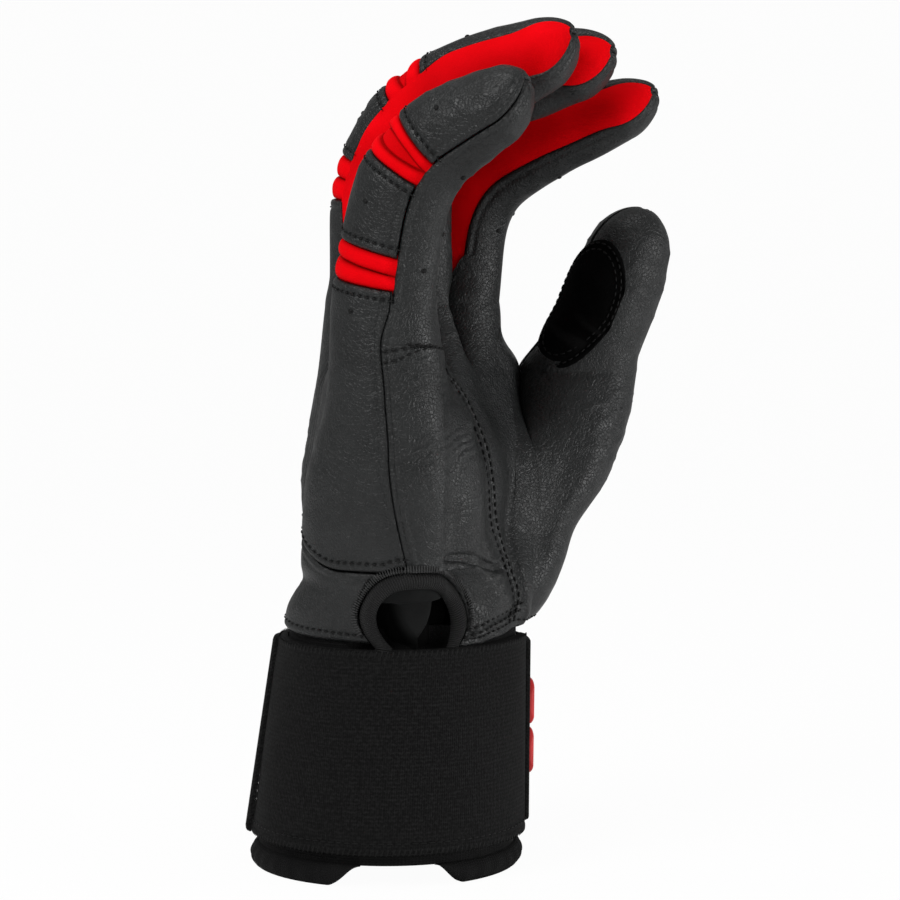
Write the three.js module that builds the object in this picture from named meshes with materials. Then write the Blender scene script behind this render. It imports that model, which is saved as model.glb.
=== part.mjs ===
// A right-hand batting glove: leather hand, red stretch inserts, wide wrist strap.
// Millimetres. +Z runs up the hand, +X out of the palm, +Y to the thumb side.
// The origin is the centre of the wrist opening, in the plane of the hem.
import * as THREE from 'three';

// Driving dimensions
const LEATHER = 1.2;
const LYCRA = 1.0;
const GAP = 0.3;

const WRIST_Z = 65;
const THUMB_CROTCH_Z = 135;
const FINGER_CROTCH_Z = 155;
const CROTCH_BLEND = 22;
const WEB_HALF = 2.2;
const WEB_SEAM = 1.2;
const LINE_FOLLOW = 0.25;
const THUMB_FOLLOW = 0.6;

const HEM_HEIGHT = 6;
const HEM_BULGE = 1.6;
const NOTCH_WIDTH = 21;
const LOBE_RISE = 4.6;
const LOBE_LENGTH = 13;
const CUFF_THICKNESS = 1.6;
const STRAP_BOTTOM_Z = 9;
const STRAP_TOP_Z = 63;
const STRAP_THICKNESS = 2.2;
const ANCHOR_WIDTH = 4;
const ANCHOR_PROUD = 1.4;
const TAPE_THICKNESS = 0.9;
const TAB_THICKNESS = 1.8;
const TAB_MARGIN = 2.5;
const BADGE_PROUD = 1.2;
const BADGE_HEIGHT = 12.4;
const BADGE_SPACING = 13.5;
const BADGE_MIDDLE_Z = 39;
const TAB_CORNER = 7;
const BADGE_CORNER = 4;

const CUFF_TOP_DEPTH = 30.8;
const CUFF_TOP_WIDTH = 34.8;
const CUFF_BOTTOM_DEPTH = 36.5;
const CUFF_BOTTOM_WIDTH = 36.5;
const CUFF_BOTTOM_SHIFT = -6;

const BACK_SEAM_Z = 85.5;
const BACK_SEAM_RISE = 9;
const BACK_BLOUSE = 3;
const HEEL_BLOUSE = 5;
const VENT_WIDTH = 33;
const VENT_HEIGHT = 20.5;
const VENT_SHIFT = 4.5;
const VENT_SQUARE = 2.5;
const BINDING = 4.6;
const BINDING_PROUD = 1.4;
const GUSSET_THICKNESS = 1.0;

const PAD_CROWN = 3.4;
const PAD_BOTTOM_Z = 69;
const PAD_TOP_Z = 146.5;
const PAD_INSET = 1.2;
const PAD_SHOULDER = 10;
const FOAM_INSET = 6.5;
const FOAM_GAP = 1.2;
const PAD_CLEAR = 1.1;

const RIB_HEIGHT = 1.3;
const RIBS_PER_INSERT = 2;
const ROLL_LIFT = 0.2;
const PATCH_THICKNESS = 1.0;
const PATCH_CENTRE = 20.5;
const PATCH_HALF_LENGTH = 18.5;
const PATCH_BLUNT = 0.97;
const WALL_SINK = 0.5;
const WALL_CLEAR = 5.2;

// Angles round a finger or the wrist: 0 faces the back of the hand, 90 the little finger,
// 180 the palm, 270 the thumb.
const BACK_EDGE = 63;
const OUTER_SEAM = 122;
const SEAM_FOOT_DEG = 138.6;
const SEAM_REACH = 0.5;
const FRONT_EDGE = 118;
const STRETCH_BACK_DEG = 25;
const THUMB_BACK_DEG = 14;
const FULL_TURN = 360;
const CUFF_COLUMNS = 36;
const STRAP_START = -58;
const STRAP_END = 203;
const ANCHOR_AT = 33;
const TAB_END = 296;
const LOOP_FROM = 213;
const LOOP_TO = 292;
const BADGE_FROM = 215;
const BADGE_TO = 254;
const NOTCH_AT = 124;
const BINDING_FOOT_DEG = 3;
const GUSSET_FOOT_DEG = 25;
const PATCH_FROM = 75;
const PATCH_TO = 165;

// Materials
const leather = new THREE.MeshStandardMaterial({ color: 0x323434, roughness: 0.55, metalness: 0 });
const suede = new THREE.MeshStandardMaterial({ color: 0x17181a, roughness: 0.9, metalness: 0 });
const lycra = new THREE.MeshStandardMaterial({ color: 0xe30a0e, roughness: 0.6, metalness: 0 });
const elastic = new THREE.MeshStandardMaterial({ color: 0x1a1a1c, roughness: 0.85, metalness: 0 });
const rubber = new THREE.MeshStandardMaterial({ color: 0xd2141a, roughness: 0.45, metalness: 0 });
const foam = new THREE.MeshStandardMaterial({ color: 0x55585a, roughness: 0.95, metalness: 0 });

const glove = new THREE.Group();
const rad = THREE.MathUtils.degToRad;
const clamp = THREE.MathUtils.clamp;
const lerp = THREE.MathUtils.lerp;
const smooth = (x, from, to) => THREE.MathUtils.smoothstep(x, from, to);

// A smooth curve through [place, value] pairs, level beyond its ends.
function through(pairs) {
  const slope = (i) => {
    const low = pairs[Math.max(i - 1, 0)];
    const high = pairs[Math.min(i + 1, pairs.length - 1)];
    return (high[1] - low[1]) / (high[0] - low[0]);
  };
  return (place) => {
    const x = clamp(place, pairs[0][0], pairs.at(-1)[0]);
    let i = 0;
    while (i < pairs.length - 2 && x > pairs[i + 1][0]) i += 1;
    const span = pairs[i + 1][0] - pairs[i][0];
    const t = (x - pairs[i][0]) / span;
    const [a, b] = [pairs[i][1], pairs[i + 1][1]];
    const [da, db] = [slope(i) * span, slope(i + 1) * span];
    const bend = (2 * t - 3) * t * t;
    return a + (a - b) * bend + da * t * (1 - t) ** 2 - db * t * t * (1 - t);
  };
}

// Evenly spaced values, both ends included.
function spaced(from, to, steps) {
  return Array.from({ length: steps + 1 }, (_, i) => lerp(from, to, i / steps));
}

// A closed shell between two faces. place(column, row, layer) gives its points,
// with layer 0 on the outer face and layer 1 on the inner one.
function shell(name, material, columns, rows, place, ring = false) {
  const across = columns.length;
  const along = rows.length;
  const positions = [];
  const grid = [];
  const known = new Map();
  for (const layer of [0, 1]) {
    for (const column of columns) {
      for (const row of rows) {
        const point = place(column, row, layer).toArray();
        const key = point.map((value) => value.toFixed(4)).join();
        if (!known.has(key)) {
          known.set(key, positions.length / 3);
          positions.push(...point);
        }
        grid.push(known.get(key));
      }
    }
  }
  const id = (layer, c, r) => grid[(layer * across + (c % across)) * along + r];
  const index = [];
  const triangle = (a, b, c) => {
    if (a !== b && b !== c && c !== a) index.push(a, b, c);
  };
  const quad = (a, b, c, d) => {
    triangle(a, b, c);
    triangle(a, c, d);
  };
  const spans = ring ? across : across - 1;
  for (let c = 0; c < spans; c += 1) {
    for (let r = 0; r < along - 1; r += 1) {
      quad(id(0, c, r), id(0, c + 1, r), id(0, c + 1, r + 1), id(0, c, r + 1));
      quad(id(1, c, r), id(1, c, r + 1), id(1, c + 1, r + 1), id(1, c + 1, r));
    }
    quad(id(0, c, 0), id(1, c, 0), id(1, c + 1, 0), id(0, c + 1, 0));
    quad(id(0, c, along - 1), id(0, c + 1, along - 1), id(1, c + 1, along - 1), id(1, c, along - 1));
  }
  for (let r = 0; r < along - 1 && !ring; r += 1) {
    const end = across - 1;
    quad(id(0, 0, r), id(0, 0, r + 1), id(1, 0, r + 1), id(1, 0, r));
    quad(id(0, end, r), id(1, end, r), id(1, end, r + 1), id(0, end, r + 1));
  }
  const geometry = new THREE.BufferGeometry();
  geometry.setAttribute('position', new THREE.Float32BufferAttribute(positions, 3));
  geometry.setIndex(volume(positions, index) < 0 ? index.reverse() : index);
  geometry.computeVertexNormals();
  const mesh = new THREE.Mesh(geometry, material);
  mesh.name = name;
  glove.add(mesh);
}

// Six times the signed volume of a mesh, negative where its faces point in.
function volume(positions, index) {
  const point = (i) => new THREE.Vector3().fromArray(positions, 3 * i);
  let sum = 0;
  for (let i = 0; i < index.length; i += 3) {
    sum += point(index[i]).dot(point(index[i + 1]).cross(point(index[i + 2])));
  }
  return sum;
}

// Fingers: where each one leaves the hand, how far its spine leans from upright along its length,
// and where its stretch inserts lie.
const FINGER_HALF_WIDTH = 10;
const FINGER_PITCH = 21.5;
const TIP_LENGTH = 10;
const TIP_TAPER = 1;
const SPINE_STEP = 0.25;
const ROW_SPACING = 7;
const ROW_CLEAR = 1.5;
const DOME_ANGLES = [24, 45, 62, 75, 85];
const ARC_DEG = 24;
const pinkySpec = {
  name: 'pinky', x: 11, y: -1.5 * FINGER_PITCH, length: 77, depths: [14.5, 13.3, 10],
  lower: [6, 14.5], upper: [34, 43],
  lean: [[0, 6], [12, 10], [27, 16], [42, 42], [54, 63], [77, 71]],
};
const ringSpec = {
  name: 'ring', x: -2.5, y: -0.5 * FINGER_PITCH, length: 102, depths: [13.5, 13, 10],
  lower: [28, 37], upper: [54, 64],
  lean: [[0, 0], [24, 2], [34, 18], [50, 42], [62, 60], [78, 69], [102, 71]],
};
const middleSpec = {
  name: 'middle', x: -6, y: 0.5 * FINGER_PITCH, length: 108, depths: [14, 13.5, 10],
  lower: [31, 40], upper: [57, 67],
  lean: [[0, 0], [27, 3], [37, 20], [52, 44], [65, 64], [82, 78], [108, 95]],
};
const indexSpec = {
  name: 'index', x: -2, y: 1.5 * FINGER_PITCH, length: 95, depths: [14, 13, 10],
  lower: [18, 27], upper: [41, 51],
  lean: [[0, 6], [18, 10], [30, 28], [44, 58], [56, 66], [95, 75]],
};

// Thumb: it leaves the hand below the fingers and leans out beside the palm.
const THUMB_LENGTH = 49;
const THUMB_TIP_LENGTH = 12;
const THUMB_HALF_DEPTH = 13;
const THUMB_HALF_WIDTH = 13;
const THUMB_WEB = 4;
const THUMB_WEB_LENGTH = 16;
const THUMB_KNUCKLE = 25;
const THUMB_DEPTH_TAPER = 3;
const THUMB_WIDTH_TAPER = 2.5;
const THUMB_FACING_DEG = 42;
const thumbSpec = {
  name: 'thumb', x: 30, y: 57.5, length: THUMB_LENGTH,
  leanX: [[0, 0], [14, 17], [THUMB_LENGTH, 17]], leanY: [[0, 0], [12, 11], [THUMB_LENGTH, 4]],
};

// A tube along a bent spine. point(along, around, inset) lies on it, inset below its outer face.
function tube(spec, startZ, tipLength, facing, depthAt, widthAt) {
  const leanX = through(spec.lean ?? spec.leanX);
  const leanY = spec.leanY ? through(spec.leanY) : () => 0;
  const heading = (s) => {
    const [a, b] = [rad(leanX(s)), rad(leanY(s))];
    return new THREE.Vector3(Math.sin(a), Math.sin(b) * Math.cos(a), Math.cos(b) * Math.cos(a));
  };
  const spine = [new THREE.Vector3(spec.x, spec.y, startZ)];
  for (let s = SPINE_STEP / 2; s < spec.length; s += SPINE_STEP) {
    spine.push(spine.at(-1).clone().addScaledVector(heading(s), SPINE_STEP));
  }
  const centre = (s) => {
    const place = clamp(s / SPINE_STEP, 0, spine.length - 1);
    const i = Math.min(Math.floor(place), spine.length - 2);
    return spine[i].clone().lerp(spine[i + 1], place - i);
  };
  const across = new THREE.Vector3(Math.sin(facing), -Math.cos(facing), 0);
  const domeStart = spec.length - tipLength;
  const point = (s, around, inset) => {
    const beyond = clamp((s - domeStart) / tipLength, 0, 1);
    const onSpine = Math.min(s, domeStart);
    const along = heading(onSpine);
    const back = across.clone().cross(along).normalize();
    const side = along.clone().cross(back).normalize();
    const a = rad(around);
    const round = Math.sqrt(1 - beyond * beyond);
    const deep = (depthAt(s, around) - inset) * round * Math.cos(a);
    const wide = (widthAt(s, around) - inset) * round * Math.sin(a);
    return centre(onSpine)
      .addScaledVector(along, beyond * (tipLength - inset))
      .addScaledVector(back, deep)
      .addScaledVector(side, wide);
  };
  const dome = DOME_ANGLES.map((a) => domeStart + tipLength * Math.sin(rad(a)));
  const stations = [...spaced(0, domeStart, Math.round(domeStart / ROW_SPACING)), ...dome];
  const between = (from, to) => stations.filter((s) => s > from + ROW_CLEAR && s < to - ROW_CLEAR);
  const rows = (from, to) => [from, ...between(from, to), to];
  return { ...spec, startZ, domeEnd: dome.at(-1), domeStart, point, rows, depthAt, widthAt };
}

function fingerTube(spec) {
  const knuckle = (spec.upper[0] + spec.upper[1]) / 2;
  const [base, bend, tip] = spec.depths;
  const depth = through([[0, base], [knuckle, bend], [spec.length, tip]]);
  const tipWidth = FINGER_HALF_WIDTH - TIP_TAPER;
  const width = through([[0, FINGER_HALF_WIDTH], [knuckle, FINGER_HALF_WIDTH], [spec.length, tipWidth]]);
  return tube(spec, FINGER_CROTCH_Z, TIP_LENGTH, 0, depth, width);
}

const fingers = [pinkySpec, ringSpec, middleSpec, indexSpec].map(fingerTube);
const thumbDepth = through([[0, THUMB_HALF_DEPTH], [THUMB_KNUCKLE, THUMB_HALF_DEPTH],
  [THUMB_LENGTH, THUMB_HALF_DEPTH - THUMB_DEPTH_TAPER]]);
const thumbWidth = (s, around) => {
  const web = Math.max(Math.sin(rad(around)), 0) * THUMB_WEB * (1 - smooth(s, 0, THUMB_WEB_LENGTH));
  return THUMB_HALF_WIDTH + web - THUMB_WIDTH_TAPER * smooth(s, THUMB_KNUCKLE, THUMB_LENGTH);
};
const thumb = tube(thumbSpec, THUMB_CROTCH_Z, THUMB_TIP_LENGTH, -rad(THUMB_FACING_DEG), thumbDepth, thumbWidth);

// The hand below the fingers is drawn over five rays, little finger to thumb. Each station holds
// the share of the way from wrist to crotch, the ray's place, and its reach to the back, the palm
// and, on the two outer rays, the side.
const rays = [
  { tube: fingers[0], wrist: -0.57, stations: [
    [0.28, 6, -27, 20, 21, 12.5], [0.5, 9, -30, 17, 19, 12], [0.78, 11.5, -32, 15.5, 16, 11]] },
  { tube: fingers[1], wrist: -0.3, stations: [
    [0.28, -1, -11, 23, 28], [0.5, -1, -11, 22, 28], [0.78, -3, -11, 15.5, 21]] },
  { tube: fingers[2], wrist: 0, stations: [
    [0.28, 0, 5, 25, 28], [0.5, 0, 9, 24, 27], [0.78, -5, 10.5, 16, 21]] },
  { tube: fingers[3], wrist: 0.3, stations: [
    [0.28, 3, 19, 23, 25], [0.5, 4, 27, 22, 22], [0.78, -1, 31.5, 15.5, 17]] },
  { tube: thumb, wrist: 0.57, stations: [
    [0.36, 18.5, 34, 16, 17, 13], [0.57, 25.5, 42, 15, 15, 15], [0.8, 29, 51, 14, 14, 14.5]] },
];
const THUMB_RAY = rays.length - 1;
const INDEX_RAY = THUMB_RAY - 1;
for (const ray of rays) {
  const { tube: end, wrist } = ray;
  const y = wrist * CUFF_TOP_WIDTH;
  const deep = CUFF_TOP_DEPTH * Math.sqrt(1 - wrist * wrist);
  const wristStation = [0, 0, y, deep, deep, CUFF_TOP_WIDTH - Math.abs(y)];
  const reach = end.depthAt(0, 0);
  const crotchStation = [1, end.x, end.y, reach, reach, end.widthAt(0, 270)];
  const all = [wristStation, ...ray.stations, crotchStation];
  const column = (k) => through(all.filter((s) => s[k] !== undefined)
    .map((s) => [lerp(WRIST_Z, end.startZ, s[0]), s[k]]));
  ray.place = ['x', 'y', 'back', 'palm', 'cap'].map((_, k) => column(k + 1));
}

// One ray at a height: its centre, its reach, and the direction across the hand there.
function rayAt(i, z) {
  const [x, y, back, palm, cap] = rays[i].place.map((value) => value(z));
  return { centre: new THREE.Vector2(x, y), back, palm, cap };
}
function rayTangent(i, z) {
  const low = rayAt(Math.max(i - 1, 0), z).centre;
  const high = rayAt(Math.min(i + 1, THUMB_RAY), z).centre;
  const chord = high.sub(low).multiplyScalar(i === 0 || i === THUMB_RAY ? 1 : 0.5);
  const facing = i === THUMB_RAY ? rad(THUMB_FACING_DEG) : 0;
  const own = new THREE.Vector2(Math.sin(facing), Math.cos(facing)).multiplyScalar(FINGER_PITCH);
  const crotch = i >= INDEX_RAY ? THUMB_CROTCH_Z : FINGER_CROTCH_Z;
  return chord.lerp(own, smooth(z, crotch - 2 * CROTCH_BLEND, crotch));
}

// The line through the middle of the hand at a height, and the direction it runs in.
function middleLine(u, z) {
  const i = clamp(Math.floor(u), 0, THUMB_RAY - 1);
  const t = u - i;
  const level = i === INDEX_RAY ? Math.min(z, THUMB_CROTCH_Z) : z;
  const [a, b] = [rayAt(i, level).centre, rayAt(i + 1, level).centre];
  const [da, db] = [rayTangent(i, level), rayTangent(i + 1, level)];
  const mix = (wa, wda, wb, wdb) => a.clone().multiplyScalar(wa).addScaledVector(da, wda)
    .addScaledVector(b, wb).addScaledVector(db, wdb);
  const at = mix((1 + 2 * t) * (1 - t) ** 2, t * (1 - t) ** 2, t * t * (3 - 2 * t), t * t * (t - 1));
  const along = mix(6 * t * (t - 1), (1 - t) * (1 - 3 * t), 6 * t * (1 - t), t * (3 * t - 2)).normalize();
  const chord = rayAt(THUMB_RAY, level).centre.sub(rayAt(0, level).centre).normalize();
  const crotch = lerp(FINGER_CROTCH_Z, THUMB_CROTCH_Z, smooth(u, INDEX_RAY - 1, INDEX_RAY));
  const own = lerp(LINE_FOLLOW, 1, smooth(level, crotch - 2 * CROTCH_BLEND, crotch));
  along.lerp(chord, 1 - Math.max(own, smooth(u, INDEX_RAY, THUMB_RAY) * THUMB_FOLLOW)).normalize();
  if (i === INDEX_RAY && z > THUMB_CROTCH_Z) {
    const free = smooth(z, THUMB_CROTCH_Z, FINGER_CROTCH_Z);
    const lone = rayAt(i, z).centre.add(new THREE.Vector2(0, 2 * t * FINGER_HALF_WIDTH));
    at.lerp(lone, free);
    along.lerp(new THREE.Vector2(0, 1), free).normalize();
  }
  return { at, along };
}

// Round the hand, q runs 0 to 4 over the back from thumb to little finger, 4 to 5 round the
// little-finger side, 5 to 9 over the palm and 9 to 10 round the thumb side.
function lobeAt(q) {
  const turn = ((q % 10) + 10) % 10;
  if (turn >= 4 && turn <= 5) return { ray: 0, around: (turn - 4) * 180, cap: true };
  if (turn >= 9) return { ray: THUMB_RAY, around: 180 + (turn - 9) * 180, cap: true };
  const palm = turn > 5;
  const u = palm ? turn - 5 : 4 - turn;
  const ray = Math.ceil(u - 0.5);
  const swing = THREE.MathUtils.radToDeg(Math.asin(clamp(2 * (u - ray), -1, 1)));
  return { ray, u, palm, around: palm ? 180 + swing : -swing, cap: false };
}

// The leather blouses out over the strap: in two soft rolls on the back, with the seam between them,
// and in one at the heel of the thumb.
const backRolls = through([[WRIST_Z, 0], [70, 0.75], [74, 1], [79, 0.35], [83, 0.2], [90, 0.75], [104, 0]]);
const heelRoll = through([[WRIST_Z, 0], [69, 0.75], [75, 1], [82, 0.8], [92, 0.15], [102, 0]]);
function blouse(q, z) {
  const turn = ((q % 10) + 10) % 10;
  const onBack = smooth(turn, 0, 0.8) * (1 - smooth(turn, 4.1, 4.6));
  const onHeel = turn > 5 ? smooth(turn, 7, 8.2) : 1 - smooth(turn, 0, 0.8);
  return BACK_BLOUSE * onBack * backRolls(z) + HEEL_BLOUSE * onHeel * heelRoll(z);
}

// A point of the hand's surface at height z, a depth below its outer face. Above a crotch it lies on
// the finger or thumb that stands there.
function hand(q, z, depth) {
  const inset = depth - blouse(q, z);
  const lobe = lobeAt(q);
  const end = rays[lobe.ray].tube;
  if (z > end.startZ) return end.point(z - end.startZ, lobe.around, inset);
  if (lobe.cap) {
    const ray = rayAt(lobe.ray, z);
    const { along } = middleLine(lobe.ray, z);
    const a = rad(lobe.around);
    const deep = ((Math.cos(a) > 0 ? ray.back : ray.palm) - inset) * Math.cos(a);
    const wide = -(ray.cap - inset) * Math.sin(a);
    return new THREE.Vector3(
      ray.centre.x - along.y * deep + along.x * wide, ray.centre.y + along.x * deep + along.y * wide, z);
  }
  const { at, along } = middleLine(lobe.u, z);
  const low = clamp(Math.floor(lobe.u), 0, THUMB_RAY - 1);
  const share = smooth(lobe.u - low, 0, 1);
  const side = lobe.palm ? 'palm' : 'back';
  const free = low === INDEX_RAY && z > THUMB_CROTCH_Z;
  const full = free ? rayAt(low, z)[side] : lerp(rayAt(low, z)[side], rayAt(low + 1, z)[side], share);
  const valley = lobe.ray + (lobe.u < lobe.ray ? -0.5 : 0.5);
  const crotch = valley > INDEX_RAY ? THUMB_CROTCH_Z : FINGER_CROTCH_Z;
  const pinch = valley < 0 || valley > THUMB_RAY ? 0 : smooth(z, crotch - CROTCH_BLEND, crotch);
  const arch = Math.sqrt(1 - (1 - 2 * Math.abs(lobe.u - valley)) ** 2);
  const reach = Math.max(lerp(full, full * arch, pinch), WEB_HALF) - inset;
  const out = lobe.palm ? -reach : reach;
  return new THREE.Vector3(at.x - along.y * out, at.y + along.x * out, z);
}

// How far each finger's back and front leather reach round it, and where it bends.
const outerBack = [-BACK_EDGE, -BACK_EDGE, -BACK_EDGE, -90];
const innerBack = [OUTER_SEAM, BACK_EDGE, BACK_EDGE, BACK_EDGE];
const frontFrom = [OUTER_SEAM, FRONT_EDGE, FRONT_EDGE, FRONT_EDGE];
const innerFront = FULL_TURN - FRONT_EDGE;
const frontTo = [innerFront, innerFront, innerFront, 270];
const middleOf = ([from, to]) => (from + to) / 2;

// The leather on the palm side of a bend is cut back in a V, so that the finger can stretch open.
function bendCut(finger, s, around) {
  const lift = LEATHER + finger.depthAt(s, around) * (1 + Math.cos(rad(around)));
  return GAP / 2 + (lift / 2) * Math.tan(rad(STRETCH_BACK_DEG));
}

// Where the hand's leather stops on a finger, as a length along the finger.
function handEdge(i, around) {
  const finger = fingers[i];
  const turned = around > frontTo[i] + 1e-6 && around > 270 - 1e-6 ? around - FULL_TURN : around;
  const backTop = finger.lower[0] - GAP / 2;
  const hinge = middleOf(finger.lower);
  if (turned >= outerBack[i] && turned <= innerBack[i]) return backTop;
  if (turned >= frontFrom[i] && turned <= frontTo[i]) return hinge - bendCut(finger, hinge, around);
  const frontTop = hinge - bendCut(finger, hinge, FRONT_EDGE);
  if (turned < 0) return backTop * clamp((90 + turned) / (90 - BACK_EDGE), 0, 1);
  if (turned < 90) return backTop * clamp((90 - turned) / (90 - BACK_EDGE), 0, 1);
  const fall = turned < 180 ? turned - 90 : 270 - turned;
  return frontTop * clamp(fall / (FRONT_EDGE - 90), 0, 1);
}

// Panels of the hand. A level runs 0 to 1 from the panel's lower edge to the thumb crotch, 1 to 2 from
// there to the finger crotch, and 2 to 3 up the finger.
const ARC_STEP = 0.01;
function roundLength(q, z) {
  return hand(q + ARC_STEP, z, 0).distanceTo(hand(q - ARC_STEP, z, 0)) / (2 * ARC_STEP);
}
const SEAM_Q = 4 + SEAM_FOOT_DEG / 180;
const seamHalfQ = GAP / 2 / roundLength(SEAM_Q, THUMB_CROTCH_Z);
const webHalfQ = WEB_SEAM / 2 / roundLength(0.5, THUMB_CROTCH_Z - CROTCH_BLEND);

// The outer seam runs from the vent up the edge of the hand to the little finger, and drifts towards
// the back on its way. Leather beside it drifts with it.
const drift = through([[88, 0], [103, 0.65], [119, 1.2], [132, 1.8], [146, 1.8], [FINGER_CROTCH_Z, 1]]);
function laid(q, z) {
  const beside = 1 - smooth(Math.abs(q - SEAM_Q), 0, SEAM_REACH);
  return q - ((SEAM_FOOT_DEG - OUTER_SEAM) / 180) * drift(z) * beside;
}

// Millimetres round the wrist from the middle of the vent, and the place at such a distance.
const VENT_TURNS = spaced(SEAM_Q - 1.5, SEAM_Q + 3, 180);
const ventPoints = VENT_TURNS.map((q) => hand(q, WRIST_Z + VENT_HEIGHT / 2, 0));
const ventLengths = [0];
ventPoints.slice(1).forEach((point, i) => ventLengths.push(ventLengths[i] + point.distanceTo(ventPoints[i])));
const lengthAt = through(VENT_TURNS.map((q, i) => [q, ventLengths[i]]));
const turnAt = through(VENT_TURNS.map((q, i) => [ventLengths[i], q]));
const ventMiddle = lengthAt(SEAM_Q) + VENT_SHIFT;
const fromVent = (q) => lengthAt(q) - ventMiddle;
const besideVent = (mm) => turnAt(ventMiddle + mm);
const squared = (x) => Math.sign(x) * Math.abs(x) ** (2 / VENT_SQUARE);
const archShare = (t) => Math.max(1 - Math.abs(t) ** VENT_SQUARE, 0) ** (1 / VENT_SQUARE);
const arch = (q) => VENT_HEIGHT * archShare(fromVent(q) / (VENT_WIDTH / 2));
const leatherBottom = (q) => WRIST_Z + GAP + arch(q);
const seamRise = (q) => BACK_SEAM_RISE * (1 - smooth(q, SEAM_Q - 0.77, SEAM_Q - 0.32));
const wristTop = (q) => Math.max(BACK_SEAM_Z + seamRise(q), leatherBottom(q) + LEATHER);
const backBottom = (q) => wristTop(q) + GAP;

function levelZ(q, level, bottom) {
  if (level <= 1) return lerp(bottom(q), THUMB_CROTCH_Z, level);
  if (level <= 2) return lerp(THUMB_CROTCH_Z, FINGER_CROTCH_Z, level - 1);
  const lobe = lobeAt(laid(q, FINGER_CROTCH_Z));
  return FINGER_CROTCH_Z + (level - 2) * handEdge(lobe.ray, lobe.around);
}
const BASE_LEVELS = spaced(0, 1, 6);
const PALM_LEVELS = [...BASE_LEVELS, 1.35, 1.7, 2, 2.5, 3];
const COLUMNS_PER_RAY = 5;
const VALLEY_RIMS = [-0.45, 0.45, 0.5];
const COLUMN_CLEAR = 0.03;
const COLUMN_LEAST = 0.02;
const columnsBetween = (from, to, extra = []) => {
  const first = Math.ceil(from * COLUMNS_PER_RAY);
  const last = Math.floor(to * COLUMNS_PER_RAY);
  const regular = spaced(first, last, last - first).map((n) => n / COLUMNS_PER_RAY);
  const rims = fingers.flatMap((_, i) => VALLEY_RIMS.flatMap((d) => [4 - i - d, 5 + i + d]));
  const within = (q) => q > from + COLUMN_CLEAR && q < to - COLUMN_CLEAR;
  const inside = [...regular, ...rims, ...extra].filter(within);
  const sorted = [from, ...inside, to].sort((a, b) => a - b);
  return sorted.filter((q, i) => i === 0 || q - sorted[i - 1] > COLUMN_LEAST);
};
function panel(name, from, to, levels, bottom, extra = []) {
  shell(name, leather, columnsBetween(from, to, extra), levels,
    (q, level, layer) => {
      const z = levelZ(q, level, bottom);
      return hand(laid(q, z), z, layer * LEATHER);
    });
}
const ventColumns = spaced(-84, 84, 10).map((a) => besideVent((VENT_WIDTH / 2) * squared(Math.sin(rad(a)))));

panel('back_ulnar_panel', 3.5 + seamHalfQ, SEAM_Q - seamHalfQ, PALM_LEVELS, backBottom);
panel('back_center_panel', 1.5 + seamHalfQ, 3.5 - seamHalfQ, PALM_LEVELS, backBottom);
panel('back_index_panel', 0.5 + webHalfQ, 1.5 - seamHalfQ, PALM_LEVELS, backBottom);
panel('palm_panel', SEAM_Q + seamHalfQ, 8.5 - webHalfQ, PALM_LEVELS, leatherBottom, ventColumns);
panel('thumb_base_palm', 8.5 + webHalfQ, 9.5 - seamHalfQ, BASE_LEVELS, leatherBottom);
panel('thumb_base_back', -0.5 + seamHalfQ, 0.5 - webHalfQ, BASE_LEVELS, leatherBottom);
const wristColumns = columnsBetween(0.5 + 2 * webHalfQ, SEAM_Q - seamHalfQ, ventColumns);
shell('wrist_back_panel', leather, wristColumns, spaced(0, 1, 2), (q, share, layer) => {
  return hand(q, lerp(leatherBottom(q), wristTop(q), share), layer * LEATHER);
});

// Fingers: backs, stretch inserts with rolled ribs, fronts and the red side walls.
const seamDeg = (finger, s) => THREE.MathUtils.radToDeg(GAP / 2 / finger.depthAt(s, 0));
const arcs = (from, to, step) => spaced(from, to, Math.max(2, Math.round((to - from) / step)));

function fingerShell(name, material, finger, columns, rows, outer, inner, sAt = (around, s) => s) {
  shell(name, material, columns, rows, (around, s, layer) => {
    const along = sAt(around, s);
    return finger.point(along, around, layer === 0 ? outer(along) : inner);
  });
}

// Two rolls of stretch cloth side by side over a knuckle.
function insert(finger, i, name, [from, to]) {
  const rolls = (s) => {
    const phase = clamp((s - from) / (to - from), 0, 1) * RIBS_PER_INSERT;
    return LEATHER - ROLL_LIFT - RIB_HEIGHT * Math.abs(Math.sin(Math.PI * phase));
  };
  const edge = seamDeg(finger, from);
  const columns = arcs(outerBack[i] + edge, innerBack[i] - edge, ARC_DEG);
  const rows = spaced(from + GAP / 2, to - GAP / 2, 4 * RIBS_PER_INSERT);
  fingerShell(`${finger.name}_${name}`, lycra, finger, columns, rows, rolls, LEATHER + LYCRA);
}

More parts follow.
